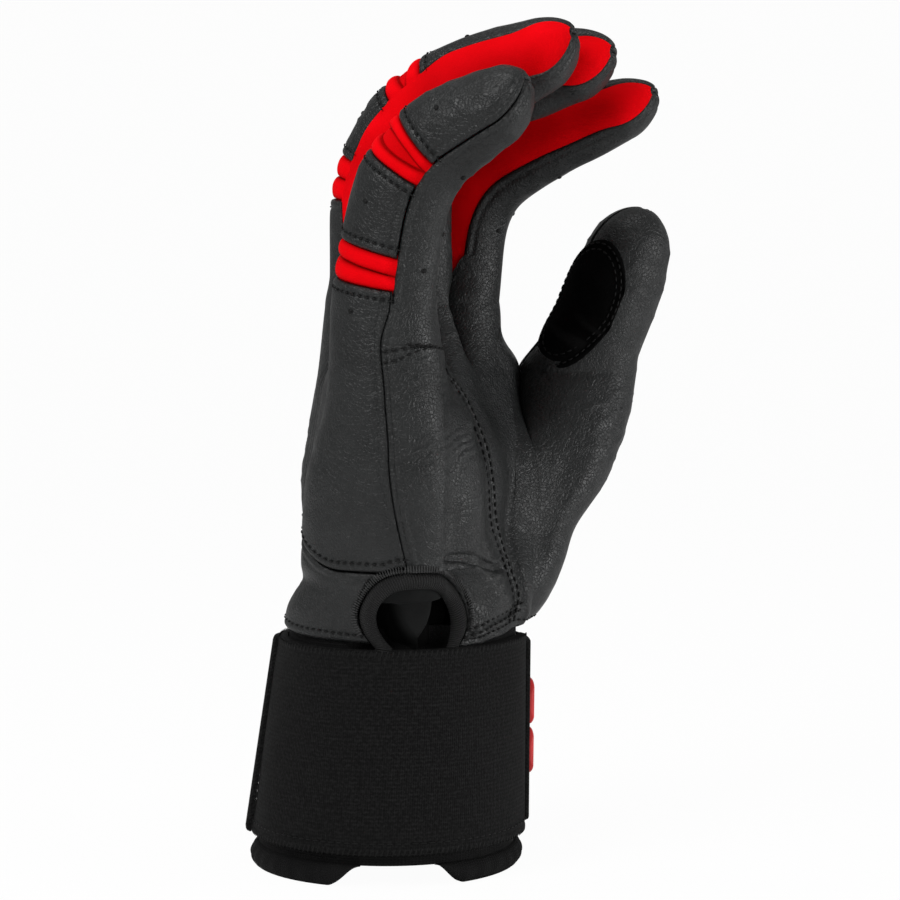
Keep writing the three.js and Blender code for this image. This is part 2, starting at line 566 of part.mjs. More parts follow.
const flat = (depth) => () => depth;
fingers.forEach((finger, i) => {
  const { name, lower, upper, domeEnd } = finger;
  const edge = seamDeg(finger, upper[0]);
  const backColumns = arcs(outerBack[i] + edge, innerBack[i] - edge, ARC_DEG);
  const frontColumns = arcs(frontFrom[i] + edge, frontTo[i] - edge, ARC_DEG);
  fingerShell(`${name}_mid_back`, leather, finger, backColumns,
    finger.rows(lower[1] + GAP / 2, upper[0] - GAP / 2), flat(0), LEATHER);
  fingerShell(`${name}_tip_back`, leather, finger, backColumns,
    finger.rows(upper[1] + GAP / 2, domeEnd), flat(0), LEATHER);
  insert(finger, i, 'lower_flex', lower);
  insert(finger, i, 'upper_flex', upper);

  const [hinge, knuckle] = [middleOf(lower), middleOf(upper)];
  const cutLow = (around, s) => {
    const low = knuckle + bendCut(finger, knuckle, around);
    return lerp(low, domeEnd, (s - knuckle) / (domeEnd - knuckle));
  };
  const cutBoth = (around, s) => {
    const low = hinge + bendCut(finger, hinge, around);
    const high = knuckle - bendCut(finger, knuckle, around);
    return lerp(low, high, (s - hinge) / (knuckle - hinge));
  };
  fingerShell(`${name}_front_lower`, leather, finger, frontColumns,
    finger.rows(hinge, knuckle), flat(0), LEATHER, cutBoth);
  fingerShell(`${name}_front_upper`, leather, finger, frontColumns,
    finger.rows(knuckle, domeEnd), flat(0), LEATHER, cutLow);
});

// Red side walls between the fingers, from the crotch to the tip.
function sideWall(i, facing) {
  const finger = fingers[i];
  const edge = 2 * seamDeg(finger, finger.upper[0]);
  const from = BACK_EDGE + edge;
  const to = FRONT_EDGE - edge;
  const turn = facing === 'ulnar' ? (a) => a : (a) => FULL_TURN - a;
  const top = finger.domeStart + 0.5 * TIP_LENGTH;
  const sAt = (around, s) => {
    const low = handEdge(i, around) + WALL_CLEAR;
    return lerp(low, top, s / top);
  };
  fingerShell(`${finger.name}_${facing}_side`, lycra, finger, arcs(from, to, 16).map(turn),
    finger.rows(0, top), flat(WALL_SINK), WALL_SINK + LYCRA, sAt);
}
fingers.forEach((_, i) => {
  if (i > 0) sideWall(i, 'ulnar');
  if (i < INDEX_RAY) sideWall(i, 'radial');
});

// Thumb: a front and a back half, and a dark grip patch sewn on the side that faces the fingers.
const thumbStart = (around) => {
  const lift = LEATHER + THUMB_HALF_DEPTH * (1 + Math.cos(rad(around)));
  return GAP + lift * Math.tan(rad(THUMB_BACK_DEG));
};
const thumbAt = (around, s) => lerp(thumbStart(around), thumb.domeEnd, s / thumb.domeEnd);
const thumbEdge = seamDeg(thumb, 0);
fingerShell('thumb_back', leather, thumb, arcs(-90 + thumbEdge, 90 - thumbEdge, 20),
  thumb.rows(0, thumb.domeEnd), flat(0), LEATHER, thumbAt);
fingerShell('thumb_front', leather, thumb, arcs(90 + thumbEdge, 270 - thumbEdge, 20),
  thumb.rows(0, thumb.domeEnd), flat(0), LEATHER, thumbAt);
shell('thumb_patch', suede, spaced(PATCH_FROM, PATCH_TO, 6), spaced(-1, 1, 6), (around, share, layer) => {
  const across = 2 * (around - PATCH_FROM) / (PATCH_TO - PATCH_FROM) - 1;
  const half = PATCH_HALF_LENGTH * Math.sqrt(1 - (PATCH_BLUNT * across) ** 2);
  const s = PATCH_CENTRE + share * half;
  return thumb.point(s, around, layer === 0 ? -GAP - PATCH_THICKNESS : -GAP);
});

// Wrist vent: an arch through the leather over the little-finger side, with a bound edge and a thin
// dark gusset behind it.
const archQ = (a, width) => besideVent(-squared(Math.cos(rad(a))) * (VENT_WIDTH / 2 - width));
const archZ = (a, width) => WRIST_Z + GAP + squared(Math.sin(rad(a))) * (VENT_HEIGHT - width);
const archAngles = (foot, steps) => spaced(foot, 180 - foot, steps);
shell('vent_binding', elastic, archAngles(BINDING_FOOT_DEG, 14), spaced(0, 1, 3), (a, share, layer) => {
  const width = lerp(2 * GAP, BINDING, share);
  const bulge = BINDING_PROUD * Math.sin(Math.PI * share);
  return hand(archQ(a, width), archZ(a, width), layer === 0 ? -bulge : LEATHER);
});
shell('vent_gusset', suede, archAngles(GUSSET_FOOT_DEG, 10), spaced(0, 1, 2), (a, share, layer) => {
  const top = archZ(a, 2 * GAP);
  const inset = LEATHER + GAP + layer * GUSSET_THICKNESS;
  return hand(archQ(a, 2 * GAP), lerp(WRIST_Z + GAP, top, share), inset);
});

// Heel pad: a crowned leather overlay on the palm edge, sewn down all round over a foam slab.
const padRight = through([[PAD_BOTTOM_Z, 7.3], [76, 7.8], [82, 7.7], [90, 7.3], [97, 7.05], [108, 6.92],
  [118, 6.9], [129, 6.7], [134, 6.4], [138, 6], [142, 5.45], [PAD_TOP_Z, 4.98]]);
const padLeft = (z) => {
  const rise = (z - WRIST_Z) / (VENT_HEIGHT + 2 * PAD_INSET);
  const ventReach = (VENT_WIDTH / 2 + PAD_INSET) * archShare(rise);
  return rise < 1 ? besideVent(ventReach) : SEAM_Q + PAD_INSET / roundLength(SEAM_Q, z);
};
const padWidth = (z) => (padRight(z) - padLeft(z)) * roundLength(lerp(padLeft(z), padRight(z), 0.5), z);
function padPlace(inset, share, rise, out) {
  const z = lerp(PAD_BOTTOM_Z + inset, PAD_TOP_Z - 2 * inset, rise);
  const margin = inset / padWidth(z);
  const across = lerp(margin, 1 - margin, share);
  const toSide = Math.min(across, 1 - across) * padWidth(z);
  const toEnd = Math.min(z - PAD_BOTTOM_Z, PAD_TOP_Z - z);
  const crown = PAD_CROWN * smooth(Math.min(toSide, toEnd), 0, PAD_SHOULDER);
  return hand(laid(lerp(padLeft(z), padRight(z), across), z), z, -out(crown));
}
shell('heel_pad', leather, [0, 0.06, 0.12, 0.2, 0.34, 0.5, 0.66, 0.84, 0.94, 1],
  [0, 0.055, 0.12, 0.177, 0.21, 0.23, 0.24, 0.251, 0.32, 0.43, 0.56, 0.7, 0.8, 0.87, 0.93, 0.97, 1],
  (share, rise, layer) => padPlace(0, share, rise, (crown) => PAD_CLEAR + crown + (1 - layer) * LEATHER));
const foamOut = (layer) => (crown) => PAD_CLEAR + (layer === 0 ? crown - FOAM_GAP : 0);
shell('heel_foam', foam, spaced(0, 1, 5), spaced(0, 1, 7),
  (share, rise, layer) => padPlace(FOAM_INSET, share, rise, foamOut(layer)));

// Cuff: a knit sleeve with a rolled hem in two lobes, open at a notch under the vent.
function wrist(around, z, out) {
  const share = clamp(z / WRIST_Z, 0, 1);
  const deep = lerp(CUFF_BOTTOM_DEPTH, CUFF_TOP_DEPTH, share) + out;
  const wide = lerp(CUFF_BOTTOM_WIDTH, CUFF_TOP_WIDTH, share) + out;
  const shift = lerp(CUFF_BOTTOM_SHIFT, 0, share);
  return new THREE.Vector3(shift - deep * Math.cos(rad(around)), -wide * Math.sin(rad(around)), z);
}
shell('cuff', elastic, spaced(0, FULL_TURN, CUFF_COLUMNS).slice(1), spaced(HEM_HEIGHT + GAP, WRIST_Z, 3),
  (around, z, layer) => wrist(around, z, layer === 0 ? 0 : -CUFF_THICKNESS), true);
const notchHalf = THREE.MathUtils.radToDeg(NOTCH_WIDTH / 2 / CUFF_BOTTOM_WIDTH);
const lobeDeg = THREE.MathUtils.radToDeg(LOBE_LENGTH / CUFF_BOTTOM_WIDTH);
const hemFrom = NOTCH_AT + notchHalf;
const hemTo = NOTCH_AT + FULL_TURN - notchHalf;
const hemStraight = spaced(hemFrom + 2 * lobeDeg, hemTo - 2 * lobeDeg, 24);
const hemLobes = [spaced(hemFrom, hemFrom + lobeDeg, 4), spaced(hemTo - lobeDeg, hemTo, 4)];
const hemColumns = [...hemLobes[0], ...hemStraight, ...hemLobes[1]];
shell('cuff_hem', elastic, hemColumns, spaced(0, 1, 4), (around, share, layer) => {
  const fromNotch = Math.min(around - hemFrom, hemTo - around) / lobeDeg;
  const rise = LOBE_RISE * (1 - smooth(fromNotch, 0, 1));
  const z = lerp(rise, HEM_HEIGHT, share);
  return wrist(around, z, layer === 0 ? HEM_BULGE * Math.sin(Math.PI * share) : -CUFF_THICKNESS);
});

// Strap: a wide elastic band round the cuff, with a doubled strip sewn along it at the back of the
// wrist, and an end tab that closes over the palm side with hook and loop tape.
function band(name, material, from, to, low, high, inner, thickness, steps, round = 0) {
  shell(name, material, spaced(from, to, steps), spaced(0, 1, 3), (around, share, layer) => {
    const ends = Math.min(around - from, to - around) * CUFF_TOP_WIDTH * rad(1);
    const corner = round > 0 ? round - Math.sqrt(round ** 2 - (round - clamp(ends, 0, round)) ** 2) : 0;
    const z = lerp(low + corner, high - corner, share);
    return wrist(around, z, inner + (1 - layer) * thickness);
  });
}
const bandOuter = GAP + STRAP_THICKNESS;
const hookInner = 2 * GAP + TAPE_THICKNESS;
const tabInner = hookInner + TAPE_THICKNESS + GAP;
const tabOuter = tabInner + TAB_THICKNESS;
const anchorHalf = THREE.MathUtils.radToDeg(ANCHOR_WIDTH / 2 / CUFF_TOP_DEPTH);
const [tabLow, tabHigh] = [STRAP_BOTTOM_Z + TAB_MARGIN, STRAP_TOP_Z - TAB_MARGIN];
band('strap_band', elastic, STRAP_START, STRAP_END, STRAP_BOTTOM_Z, STRAP_TOP_Z, GAP, STRAP_THICKNESS, 25);
band('strap_anchor', elastic, ANCHOR_AT - anchorHalf, ANCHOR_AT + anchorHalf, STRAP_BOTTOM_Z, STRAP_TOP_Z,
  bandOuter + GAP, ANCHOR_PROUD, 2);
const [tapeLow, tapeHigh] = [tabLow + TAB_MARGIN, tabHigh - TAB_MARGIN];
band('loop_patch', elastic, LOOP_FROM, LOOP_TO, tapeLow, tapeHigh, GAP, TAPE_THICKNESS, 10);
band('hook_patch', elastic, LOOP_FROM + 1, LOOP_TO - 1, tapeLow, tapeHigh, hookInner, TAPE_THICKNESS, 10);
band('strap_tab', elastic, STRAP_END + 1, TAB_END, tabLow, tabHigh, tabInner, TAB_THICKNESS, 12, TAB_CORNER);
for (const [name, side] of [['badge_lower', -1], ['badge_upper', 1]]) {
  const low = BADGE_MIDDLE_Z + (side * BADGE_SPACING - BADGE_HEIGHT) / 2;
  const high = low + BADGE_HEIGHT;
  band(name, rubber, BADGE_FROM, BADGE_TO, low, high, tabOuter + GAP, BADGE_PROUD, 6, BADGE_CORNER);
}

export default glove;
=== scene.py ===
import math

import bmesh
import bpy
import numpy as np
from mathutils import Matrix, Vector, noise


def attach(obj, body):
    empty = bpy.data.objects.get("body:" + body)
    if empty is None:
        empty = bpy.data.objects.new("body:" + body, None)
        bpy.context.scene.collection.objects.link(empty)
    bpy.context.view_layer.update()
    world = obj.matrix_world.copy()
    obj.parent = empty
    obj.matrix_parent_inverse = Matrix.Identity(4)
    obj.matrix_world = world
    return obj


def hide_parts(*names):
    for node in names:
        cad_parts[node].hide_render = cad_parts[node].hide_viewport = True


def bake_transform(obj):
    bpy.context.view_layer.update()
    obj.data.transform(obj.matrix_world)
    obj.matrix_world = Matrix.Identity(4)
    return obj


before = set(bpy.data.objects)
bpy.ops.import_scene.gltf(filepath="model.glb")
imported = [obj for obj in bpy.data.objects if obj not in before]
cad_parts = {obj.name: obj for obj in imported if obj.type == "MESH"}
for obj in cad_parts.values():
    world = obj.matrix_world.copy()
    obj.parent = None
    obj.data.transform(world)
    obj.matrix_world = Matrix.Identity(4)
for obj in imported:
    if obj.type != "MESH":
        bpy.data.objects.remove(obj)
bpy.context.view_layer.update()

# Studio: a pale sweep behind the glove, one large soft lamp in front and to the left, one low on
# the right and a weaker one above, and a camera a step away at the height of the palm, a little above it.
MM = 0.001
IMAGE_WIDTH, MM_PER_PIXEL, SENSOR_WIDTH = 900, 0.276, 36
CAMERA_DISTANCE, CAMERA_AZIMUTH, CAMERA_ELEVATION = 0.85, 28, 5
GLOVE_MIDDLE = Vector((11.2, 6.0, 115.0)) * MM
AIR_LIGHT, SWEEP_WHITE, SWEEP_GLOW = 0.3, 0.95, 0.965
SWEEP_HALF, SWEEP_FRONT, SWEEP_BACK, SWEEP_RISE, SWEEP_ROUND = 3.0, -2.5, 1.2, 2.4, 0.9

scene = bpy.context.scene
scene.view_settings.view_transform = "Standard"


def link(name, data):
    obj = bpy.data.objects.new(name, data)
    scene.collection.objects.link(obj)
    return obj


def stand(name, data, azimuth, elevation, distance):
    """A camera or lamp that looks at the middle of the glove, and the way it looks."""
    a, e = math.radians(azimuth), math.radians(elevation)
    aim = Vector((-math.sin(a) * math.cos(e), math.cos(a) * math.cos(e), -math.sin(e)))
    obj = link(name, data)
    obj.location = GLOVE_MIDDLE - aim * distance
    obj.rotation_euler = aim.to_track_quat("-Z", "Y").to_euler()
    return obj, aim


lens = bpy.data.cameras.new("camera")
lens.sensor_width = SENSOR_WIDTH
lens.lens = SENSOR_WIDTH * CAMERA_DISTANCE / (IMAGE_WIDTH * MM_PER_PIXEL * MM)
lens.clip_start = 0.01
scene.camera, looking = stand("camera", lens, CAMERA_AZIMUTH, CAMERA_ELEVATION, CAMERA_DISTANCE)
for name, azimuth, elevation, distance, size, power in (
        ("key_lamp", -15, 40, 0.9, 0.35, 4.2), ("fill_lamp", 100, 6, 1.0, 0.4, 4.2),
        ("top_lamp", 40, 78, 0.9, 0.4, 1.8)):
    lamp = bpy.data.lights.new(name, "AREA")
    lamp.size, lamp.energy = size, power
    stand(name, lamp, azimuth, elevation, distance)

scene.world = bpy.data.worlds.new("studio_air")
scene.world.use_nodes = True
air = scene.world.node_tree
air_seen = air.nodes.new("ShaderNodeMapRange")
air_seen.inputs["To Min"].default_value = AIR_LIGHT
air.nodes["Background"].inputs["Color"].default_value = (1, 1, 1, 1)
air.links.new(air.nodes.new("ShaderNodeLightPath").outputs["Is Camera Ray"], air_seen.inputs["Value"])
air.links.new(air_seen.outputs["Result"], air.nodes["Background"].inputs["Strength"])


def rgba(colour):
    """A grey, or a red, green and blue, as a full colour."""
    return (*np.broadcast_to(colour, 3).tolist(), 1)


class Finish:
    """A material and short ways to add nodes to it."""

    def __init__(self, name, colour, roughness, specular=0.5):
        self.material = bpy.data.materials.new(name)
        self.material.use_nodes = True
        self.tree = self.material.node_tree
        self.shader = self.tree.nodes["Principled BSDF"]
        self.shader.inputs["Base Color"].default_value = rgba(colour)
        self.shader.inputs["Roughness"].default_value = roughness
        self.shader.inputs["Specular IOR Level"].default_value = specular
        self.coords = self.add("TexCoord")
        self.bump = None

    def add(self, kind, **settings):
        node = self.tree.nodes.new("ShaderNode" + kind)
        for key, value in settings.items():
            setattr(node, key, value)
        return node

    def put(self, target, value):
        if isinstance(value, bpy.types.NodeSocket):
            self.tree.links.new(value, target)
        else:
            target.default_value = value

    def math(self, operation, a, b=0.0):
        node = self.add("Math", operation=operation)
        self.put(node.inputs[0], a)
        self.put(node.inputs[1], b)
        return node.outputs[0]

    def field(self, name):
        return self.add("Attribute", attribute_name=name).outputs["Fac"]

    def texture(self, kind, scale, vector, **settings):
        node = self.add("Tex" + kind, **settings)
        node.inputs["Scale"].default_value = scale
        self.put(node.inputs["Vector"], vector)
        return node

    def noise(self, scale, detail=3.0):
        node = self.texture("Noise", scale, self.coords.outputs["Object"])
        node.inputs["Detail"].default_value = detail
        return node.outputs["Fac"]

    def span(self, value, low, high, new_low, new_high):
        node = self.add("MapRange")
        for key, number in (("From Min", low), ("From Max", high), ("To Min", new_low), ("To Max", new_high)):
            node.inputs[key].default_value = number
        self.put(node.inputs["Value"], value)
        return node.outputs["Result"]

    def tint(self, share, *colours):
        """A mix of two colours, each a socket, a grey, or a red, green and blue."""
        node = self.add("Mix", data_type="RGBA")
        self.put(node.inputs["Factor"], share)
        for target, colour in zip(node.inputs[6:8], colours):
            self.put(target, colour if isinstance(colour, bpy.types.NodeSocket) else rgba(colour))
        return node.outputs[2]

    def mottle(self, scale, detail, *colours):
        """Two colours in soft blotches."""
        return self.tint(self.span(self.noise(scale, detail), 0.3, 0.7, 0, 1), *colours)

    def colour(self, value):
        self.put(self.shader.inputs["Base Color"], value)

    def roughness(self, value):
        self.put(self.shader.inputs["Roughness"], value)

    def relief(self, height, depth_mm, strength):
        """A bump of a height field, stacked on those before it."""
        node = self.add("Bump")
        node.inputs["Distance"].default_value = depth_mm * MM
        node.inputs["Strength"].default_value = strength
        self.put(node.inputs["Height"], height)
        if self.bump:
            self.put(node.inputs["Normal"], self.bump)
        self.bump = node.outputs["Normal"]
        self.put(self.shader.inputs["Normal"], self.bump)

    def stripes(self, axis, pitch_mm):
        """A wave 0 to 1 that repeats along one axis of the UV map, in millimetres."""
        split = self.add("SeparateXYZ")
        self.put(split.inputs[0], self.coords.outputs["UV"])
        turn = self.math("MULTIPLY", split.outputs[axis], 2 * math.pi / pitch_mm)
        return self.math("MULTIPLY_ADD", self.math("SINE", turn), 0.5)


def sweep_mesh():
    """A floor that curves up into a wall behind the glove."""
    turn = np.linspace(0, math.pi / 2, 24)
    profile = [(SWEEP_FRONT, 0.0)]
    profile += [(SWEEP_BACK + SWEEP_ROUND * math.sin(a), SWEEP_ROUND * (1 - math.cos(a))) for a in turn]
    profile += [(SWEEP_BACK + SWEEP_ROUND, SWEEP_RISE)]
    away = Vector((looking.x, looking.y, 0)).normalized()
    across = Vector((away.y, -away.x, 0))
    points = [away * d + across * s * SWEEP_HALF + Vector((0, 0, h)) for d, h in profile for s in (-1, 1)]
    faces = [(2 * i, 2 * i + 1, 2 * i + 3, 2 * i + 2) for i in range(len(profile) - 1)]
    mesh = bpy.data.meshes.new("studio_sweep")
    mesh.from_pydata([p[:] for p in points], [], faces)
    mesh.shade_smooth()
    return mesh


paint = Finish("pale_sweep", SWEEP_WHITE, 0.9)
paint_mix = paint.add("MixShader")
seen = paint.add("LightPath").outputs["Is Camera Ray"]
for target, value in ((paint_mix.inputs[0], paint.math("MULTIPLY", seen, SWEEP_GLOW)),
                      (paint_mix.inputs[1], paint.shader.outputs[0]),
                      (paint_mix.inputs[2], paint.add("Emission").outputs[0]),
                      (paint.tree.nodes["Material Output"].inputs["Surface"], paint_mix.outputs[0])):
    paint.put(target, value)
sweep = link("studio_sweep", sweep_mesh())
sweep.data.materials.append(paint.material)

# Cuff: a black knit sleeve round the wrist with a soft rolled hem. The hem ends in two rounded lobes
# either side of a notch under the little finger, and the sleeve is sewn to the leather above it.
WRIST_Z = 65
CUFF_TOP_DEPTH, CUFF_TOP_WIDTH = 30.8, 34.8
CUFF_BOTTOM_DEPTH, CUFF_BOTTOM_WIDTH, CUFF_BOTTOM_SHIFT = 36.5, 36.5, -6
CUFF_THICKNESS, CUFF_TOP_Z, VENT_AT, VENT_TUCK = 1.6, 70, 121, 5
HEM_HEIGHT, HEM_BULGE = 6, 1.6
NOTCH_AT, NOTCH_WIDTH, LOBE_RISE, LOBE_LENGTH = 124, 21, 5.6, 9


def lerp(a, b, t):
    return a + (b - a) * t


def smooth(x, low, high):
    t = np.clip((x - low) / (high - low), 0, 1)
    return t * t * (3 - 2 * t)


def grid(columns, rows):
    return np.meshgrid(columns, rows, indexing="ij")


def wrist(around, z, out):
    """Points of the cuff in millimetres, out from its outer face. Round the wrist, 0 degrees faces the back
    of the hand, 90 the little finger, 180 the palm and 270 the thumb."""
    around, z, out = np.broadcast_arrays(np.asarray(around, float), np.asarray(z, float), out)
    share = np.clip(z / WRIST_Z, 0, 1)
    deep = lerp(CUFF_BOTTOM_DEPTH, CUFF_TOP_DEPTH, share) + out
    wide = lerp(CUFF_BOTTOM_WIDTH, CUFF_TOP_WIDTH, share) + out
    shift = lerp(CUFF_BOTTOM_SHIFT, 0, share)
    a = np.radians(around)
    return np.stack([shift - deep * np.cos(a), -wide * np.sin(a), z], axis=-1)


def lengths(surface, axis):
    """How far each point of a grid lies from the grid's first row or column, along the surface."""
    steps = np.linalg.norm(np.diff(surface, axis=axis), axis=-1)
    return np.cumsum(np.insert(steps, 0, 0, axis=axis), axis=axis)


def dense_ends(start, end, steps):
    """Values from start to end, closer together near both ends."""
    t = np.linspace(0, 1, steps + 1)
    return start + (end - start) * (0.45 * t + 0.55 * (0.5 - 0.5 * np.cos(math.pi * t)))


def slab(ids, layer, ring):
    """Faces of a slab between two like grids of points, the second one a layer of ids further on."""
    a, b, c, d = ids[:-1, :-1], ids[1:, :-1], ids[1:, 1:], ids[:-1, 1:]
    quads = [np.stack([a, b, c, d], -1), np.stack([a, d, c, b], -1) + layer]
    rims = [(ids[:, 0], False), (ids[:, -1], True)]
    rims += [] if ring else [(ids[0], True), (ids[-1], False)]
    for rim, ahead in rims:
        p, n = rim[:-1], rim[1:]
        quads.append(np.stack([p, n, n + layer, p + layer] if ahead else [p, p + layer, n + layer, n], -1))
    return np.concatenate([q.reshape(-1, 4) for q in quads])


def shell(name, outer, inner, material, fields=None, ring=False):
    """A closed piece between an outer and an inner grid of points, with its UV map in millimetres."""
    rows = outer.shape[1]
    ids = np.arange(outer[..., 0].size).reshape(-1, rows)
    flat = np.concatenate([outer, outer[:1]]) if ring else outer
    faces = slab(np.vstack([ids, ids[:1]]) if ring else ids, ids.size, ring)
    corner = slab(np.arange(flat[..., 0].size).reshape(-1, rows), 0, ring)
    points = np.concatenate([outer.reshape(-1, 3), inner.reshape(-1, 3)]) * MM
    a, b, c, d = np.moveaxis((points - points.mean(axis=0))[faces], 1, 0)
    if np.einsum("ij,ij->", a, np.cross(b, c) + np.cross(c, d)) < 0:
        faces, corner = faces[:, ::-1], corner[:, ::-1]
    mesh = bpy.data.meshes.new(name)
    mesh.from_pydata(points, [], faces.tolist())
    across = np.repeat(lengths(flat, 0).mean(axis=1, keepdims=True), rows, axis=1)
    uv = np.stack([across, lengths(flat, 1)], -1).reshape(-1, 2)[corner.ravel()]
    mesh.uv_layers.new(name="UVMap").data.foreach_set("uv", uv.astype(np.float32).ravel())
    for field, values in (fields or {}).items():
        data = np.concatenate([values.ravel(), values.ravel()]).astype(np.float32)
        mesh.attributes.new(field, "FLOAT", "POINT").data.foreach_set("value", data)
    merge = bmesh.new()
    merge.from_mesh(mesh)
    bmesh.ops.remove_doubles(merge, verts=merge.verts, dist=2e-6)
    merge.to_mesh(mesh)
    merge.free()
    mesh.shade_smooth()
    mesh.set_sharp_from_angle(angle=math.radians(50))
    mesh.materials.append(material)
    return link(name, mesh)


def worn_by(obj, body, node):
    """The piece rides on a body and stands for its solid, which is hidden."""
    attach(obj, body)
    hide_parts(node)


def knit_finish():
    """Fine black knit: columns of small loops."""
    knit = Finish("black_knit", 0.004, 0.85, specular=0.14)
    knit.relief(knit.math("MULTIPLY", knit.stripes(0, 0.9), knit.stripes(1, 0.7)), 0.25, 0.7)
    knit.relief(knit.noise(220), 0.3, 0.4)
    knit.colour(knit.mottle(90, 4, (0.0025, 0.0025, 0.0026), 0.006))
    return knit.material


black_knit = knit_finish()

cuff_around, cuff_z = grid(np.linspace(0, 360, 180, endpoint=False), np.linspace(HEM_HEIGHT - 0.2, CUFF_TOP_Z, 66))
cuff_sag = 0.35 * np.sin(np.radians(cuff_around * 3)) * np.sin(cuff_z / 9)
under_vent = smooth(cuff_z, 62, 65) * (1 - smooth(np.abs(np.mod(cuff_around, 360) - VENT_AT), 22, 30))
cuff_sag = cuff_sag - VENT_TUCK * under_vent
worn_by(shell("cuff_sleeve", wrist(cuff_around, cuff_z, cuff_sag - 0.4),
              wrist(cuff_around, cuff_z, -CUFF_THICKNESS - VENT_TUCK * under_vent), black_knit, ring=True),
        "hand", "cuff")

notch_half = math.degrees(NOTCH_WIDTH / 2 / CUFF_BOTTOM_WIDTH)
lobe_deg = math.degrees(LOBE_LENGTH / CUFF_BOTTOM_WIDTH)
hem_from, hem_to = NOTCH_AT + notch_half, NOTCH_AT + 360 - notch_half
hem_around, hem_share = grid(dense_ends(hem_from, hem_to, 220), np.linspace(0, 1, 16))
from_notch = np.clip(np.minimum(hem_around - hem_from, hem_to - hem_around) / lobe_deg, 0, 1)
hem_rise = LOBE_RISE * (1 - smooth(from_notch, 0, 1))
hem_z = lerp(hem_rise, HEM_HEIGHT, hem_share)
hem_end = np.sqrt(np.clip(1 - (1 - np.clip(from_notch * 4, 0, 1)) ** 2, 0, 1))
hem_pucker = 0.18 * np.sin(np.radians(hem_around) * 40) * np.sin(math.pi * hem_share)
hem_out = HEM_BULGE * np.sin(math.pi * hem_share) ** 0.7 * hem_end + hem_pucker
worn_by(shell("cuff_hem_roll", wrist(hem_around, hem_z, hem_out - 0.3 * (1 - hem_end)),
              wrist(hem_around, hem_z, -CUFF_THICKNESS), black_knit), "hand", "cuff_hem")

# Stitches: short lengths of black thread in rows, a lockstitch along every sewn edge and slanted
# stitches over the cut edges of the elastic. One tree sews all of them along a path on the surface.
sewing_thread = Finish("sewing_thread", 0.003, 0.6, specular=0.2)
sewing_thread.relief(sewing_thread.noise(2500, 1), 0.06, 0.6)


def stitch_tree():
    """Path with an up direction in, a row of stitches out."""
    tree = bpy.data.node_groups.new("sewn_row", "GeometryNodeTree")
    for name, kind in (("Path", "Geometry"), ("Pitch", "Float"), ("Stitch Length", "Float"), ("Thread Radius", "Float"),
                       ("Slant", "Float"), ("Thread", "Material")):
        tree.interface.new_socket(name, in_out="INPUT", socket_type="NodeSocket" + kind)
    tree.interface.new_socket("Stitches", in_out="OUTPUT", socket_type="NodeSocketGeometry")

    def add(kind, values=(), **settings):
        node = tree.nodes.new(kind)
        for key, value in settings.items():
            setattr(node, key, value)
        for socket, value in dict(values).items():
            node.inputs[socket].default_value = value
        return node

    given, made = add("NodeGroupInput"), add("NodeGroupOutput")
    curve, even = add("GeometryNodeMeshToCurve"), add("GeometryNodeResampleCurve", mode="LENGTH")
    stitch = add("GeometryNodeMeshUVSphere", {"Segments": 8, "Rings": 5, "Radius": 1.0})
    half, size = add("ShaderNodeMath", {1: 0.5}, operation="MULTIPLY"), add("ShaderNodeCombineXYZ")
    up = add("GeometryNodeInputNamedAttribute", {"Name": "up"}, data_type="FLOAT_VECTOR")
    tangent = add("GeometryNodeInputTangent")
    lie = add("FunctionNodeAlignRotationToVector", axis="X")
    face = add("FunctionNodeAlignRotationToVector", axis="Z", pivot_axis="X")
    turn = add("FunctionNodeAxisAngleToRotation", {"Axis": (0, 0, 1)})
    slanted = add("FunctionNodeRotateRotation", rotation_space="LOCAL")
    place, real = add("GeometryNodeInstanceOnPoints"), add("GeometryNodeRealizeInstances")
    dye = add("GeometryNodeSetMaterial")
    for source, out, target, into in (
            (given, "Path", curve, "Mesh"), (curve, "Curve", even, "Curve"), (given, "Pitch", even, "Length"),
            (even, "Curve", place, "Points"), (stitch, "Mesh", place, "Instance"), (given, "Stitch Length", half, 0),
            (half, 0, size, "X"), (given, "Thread Radius", size, "Y"), (given, "Thread Radius", size, "Z"),
            (size, 0, place, "Scale"), (tangent, 0, lie, "Vector"), (lie, "Rotation", face, "Rotation"),
            (up, "Attribute", face, "Vector"), (given, "Slant", turn, "Angle"), (face, "Rotation", slanted, "Rotation"),
            (turn, "Rotation", slanted, "Rotate By"), (slanted, "Rotation", place, "Rotation"),
            (place, "Instances", real, "Geometry"), (real, "Geometry", dye, "Geometry"),
            (given, "Thread", dye, "Material"), (dye, "Geometry", made, "Stitches")):
        tree.links.new(source.outputs[out], target.inputs[into])
    return tree


sewn_row = stitch_tree()


def unit(vectors):
    return vectors / np.linalg.norm(vectors, axis=-1, keepdims=True)


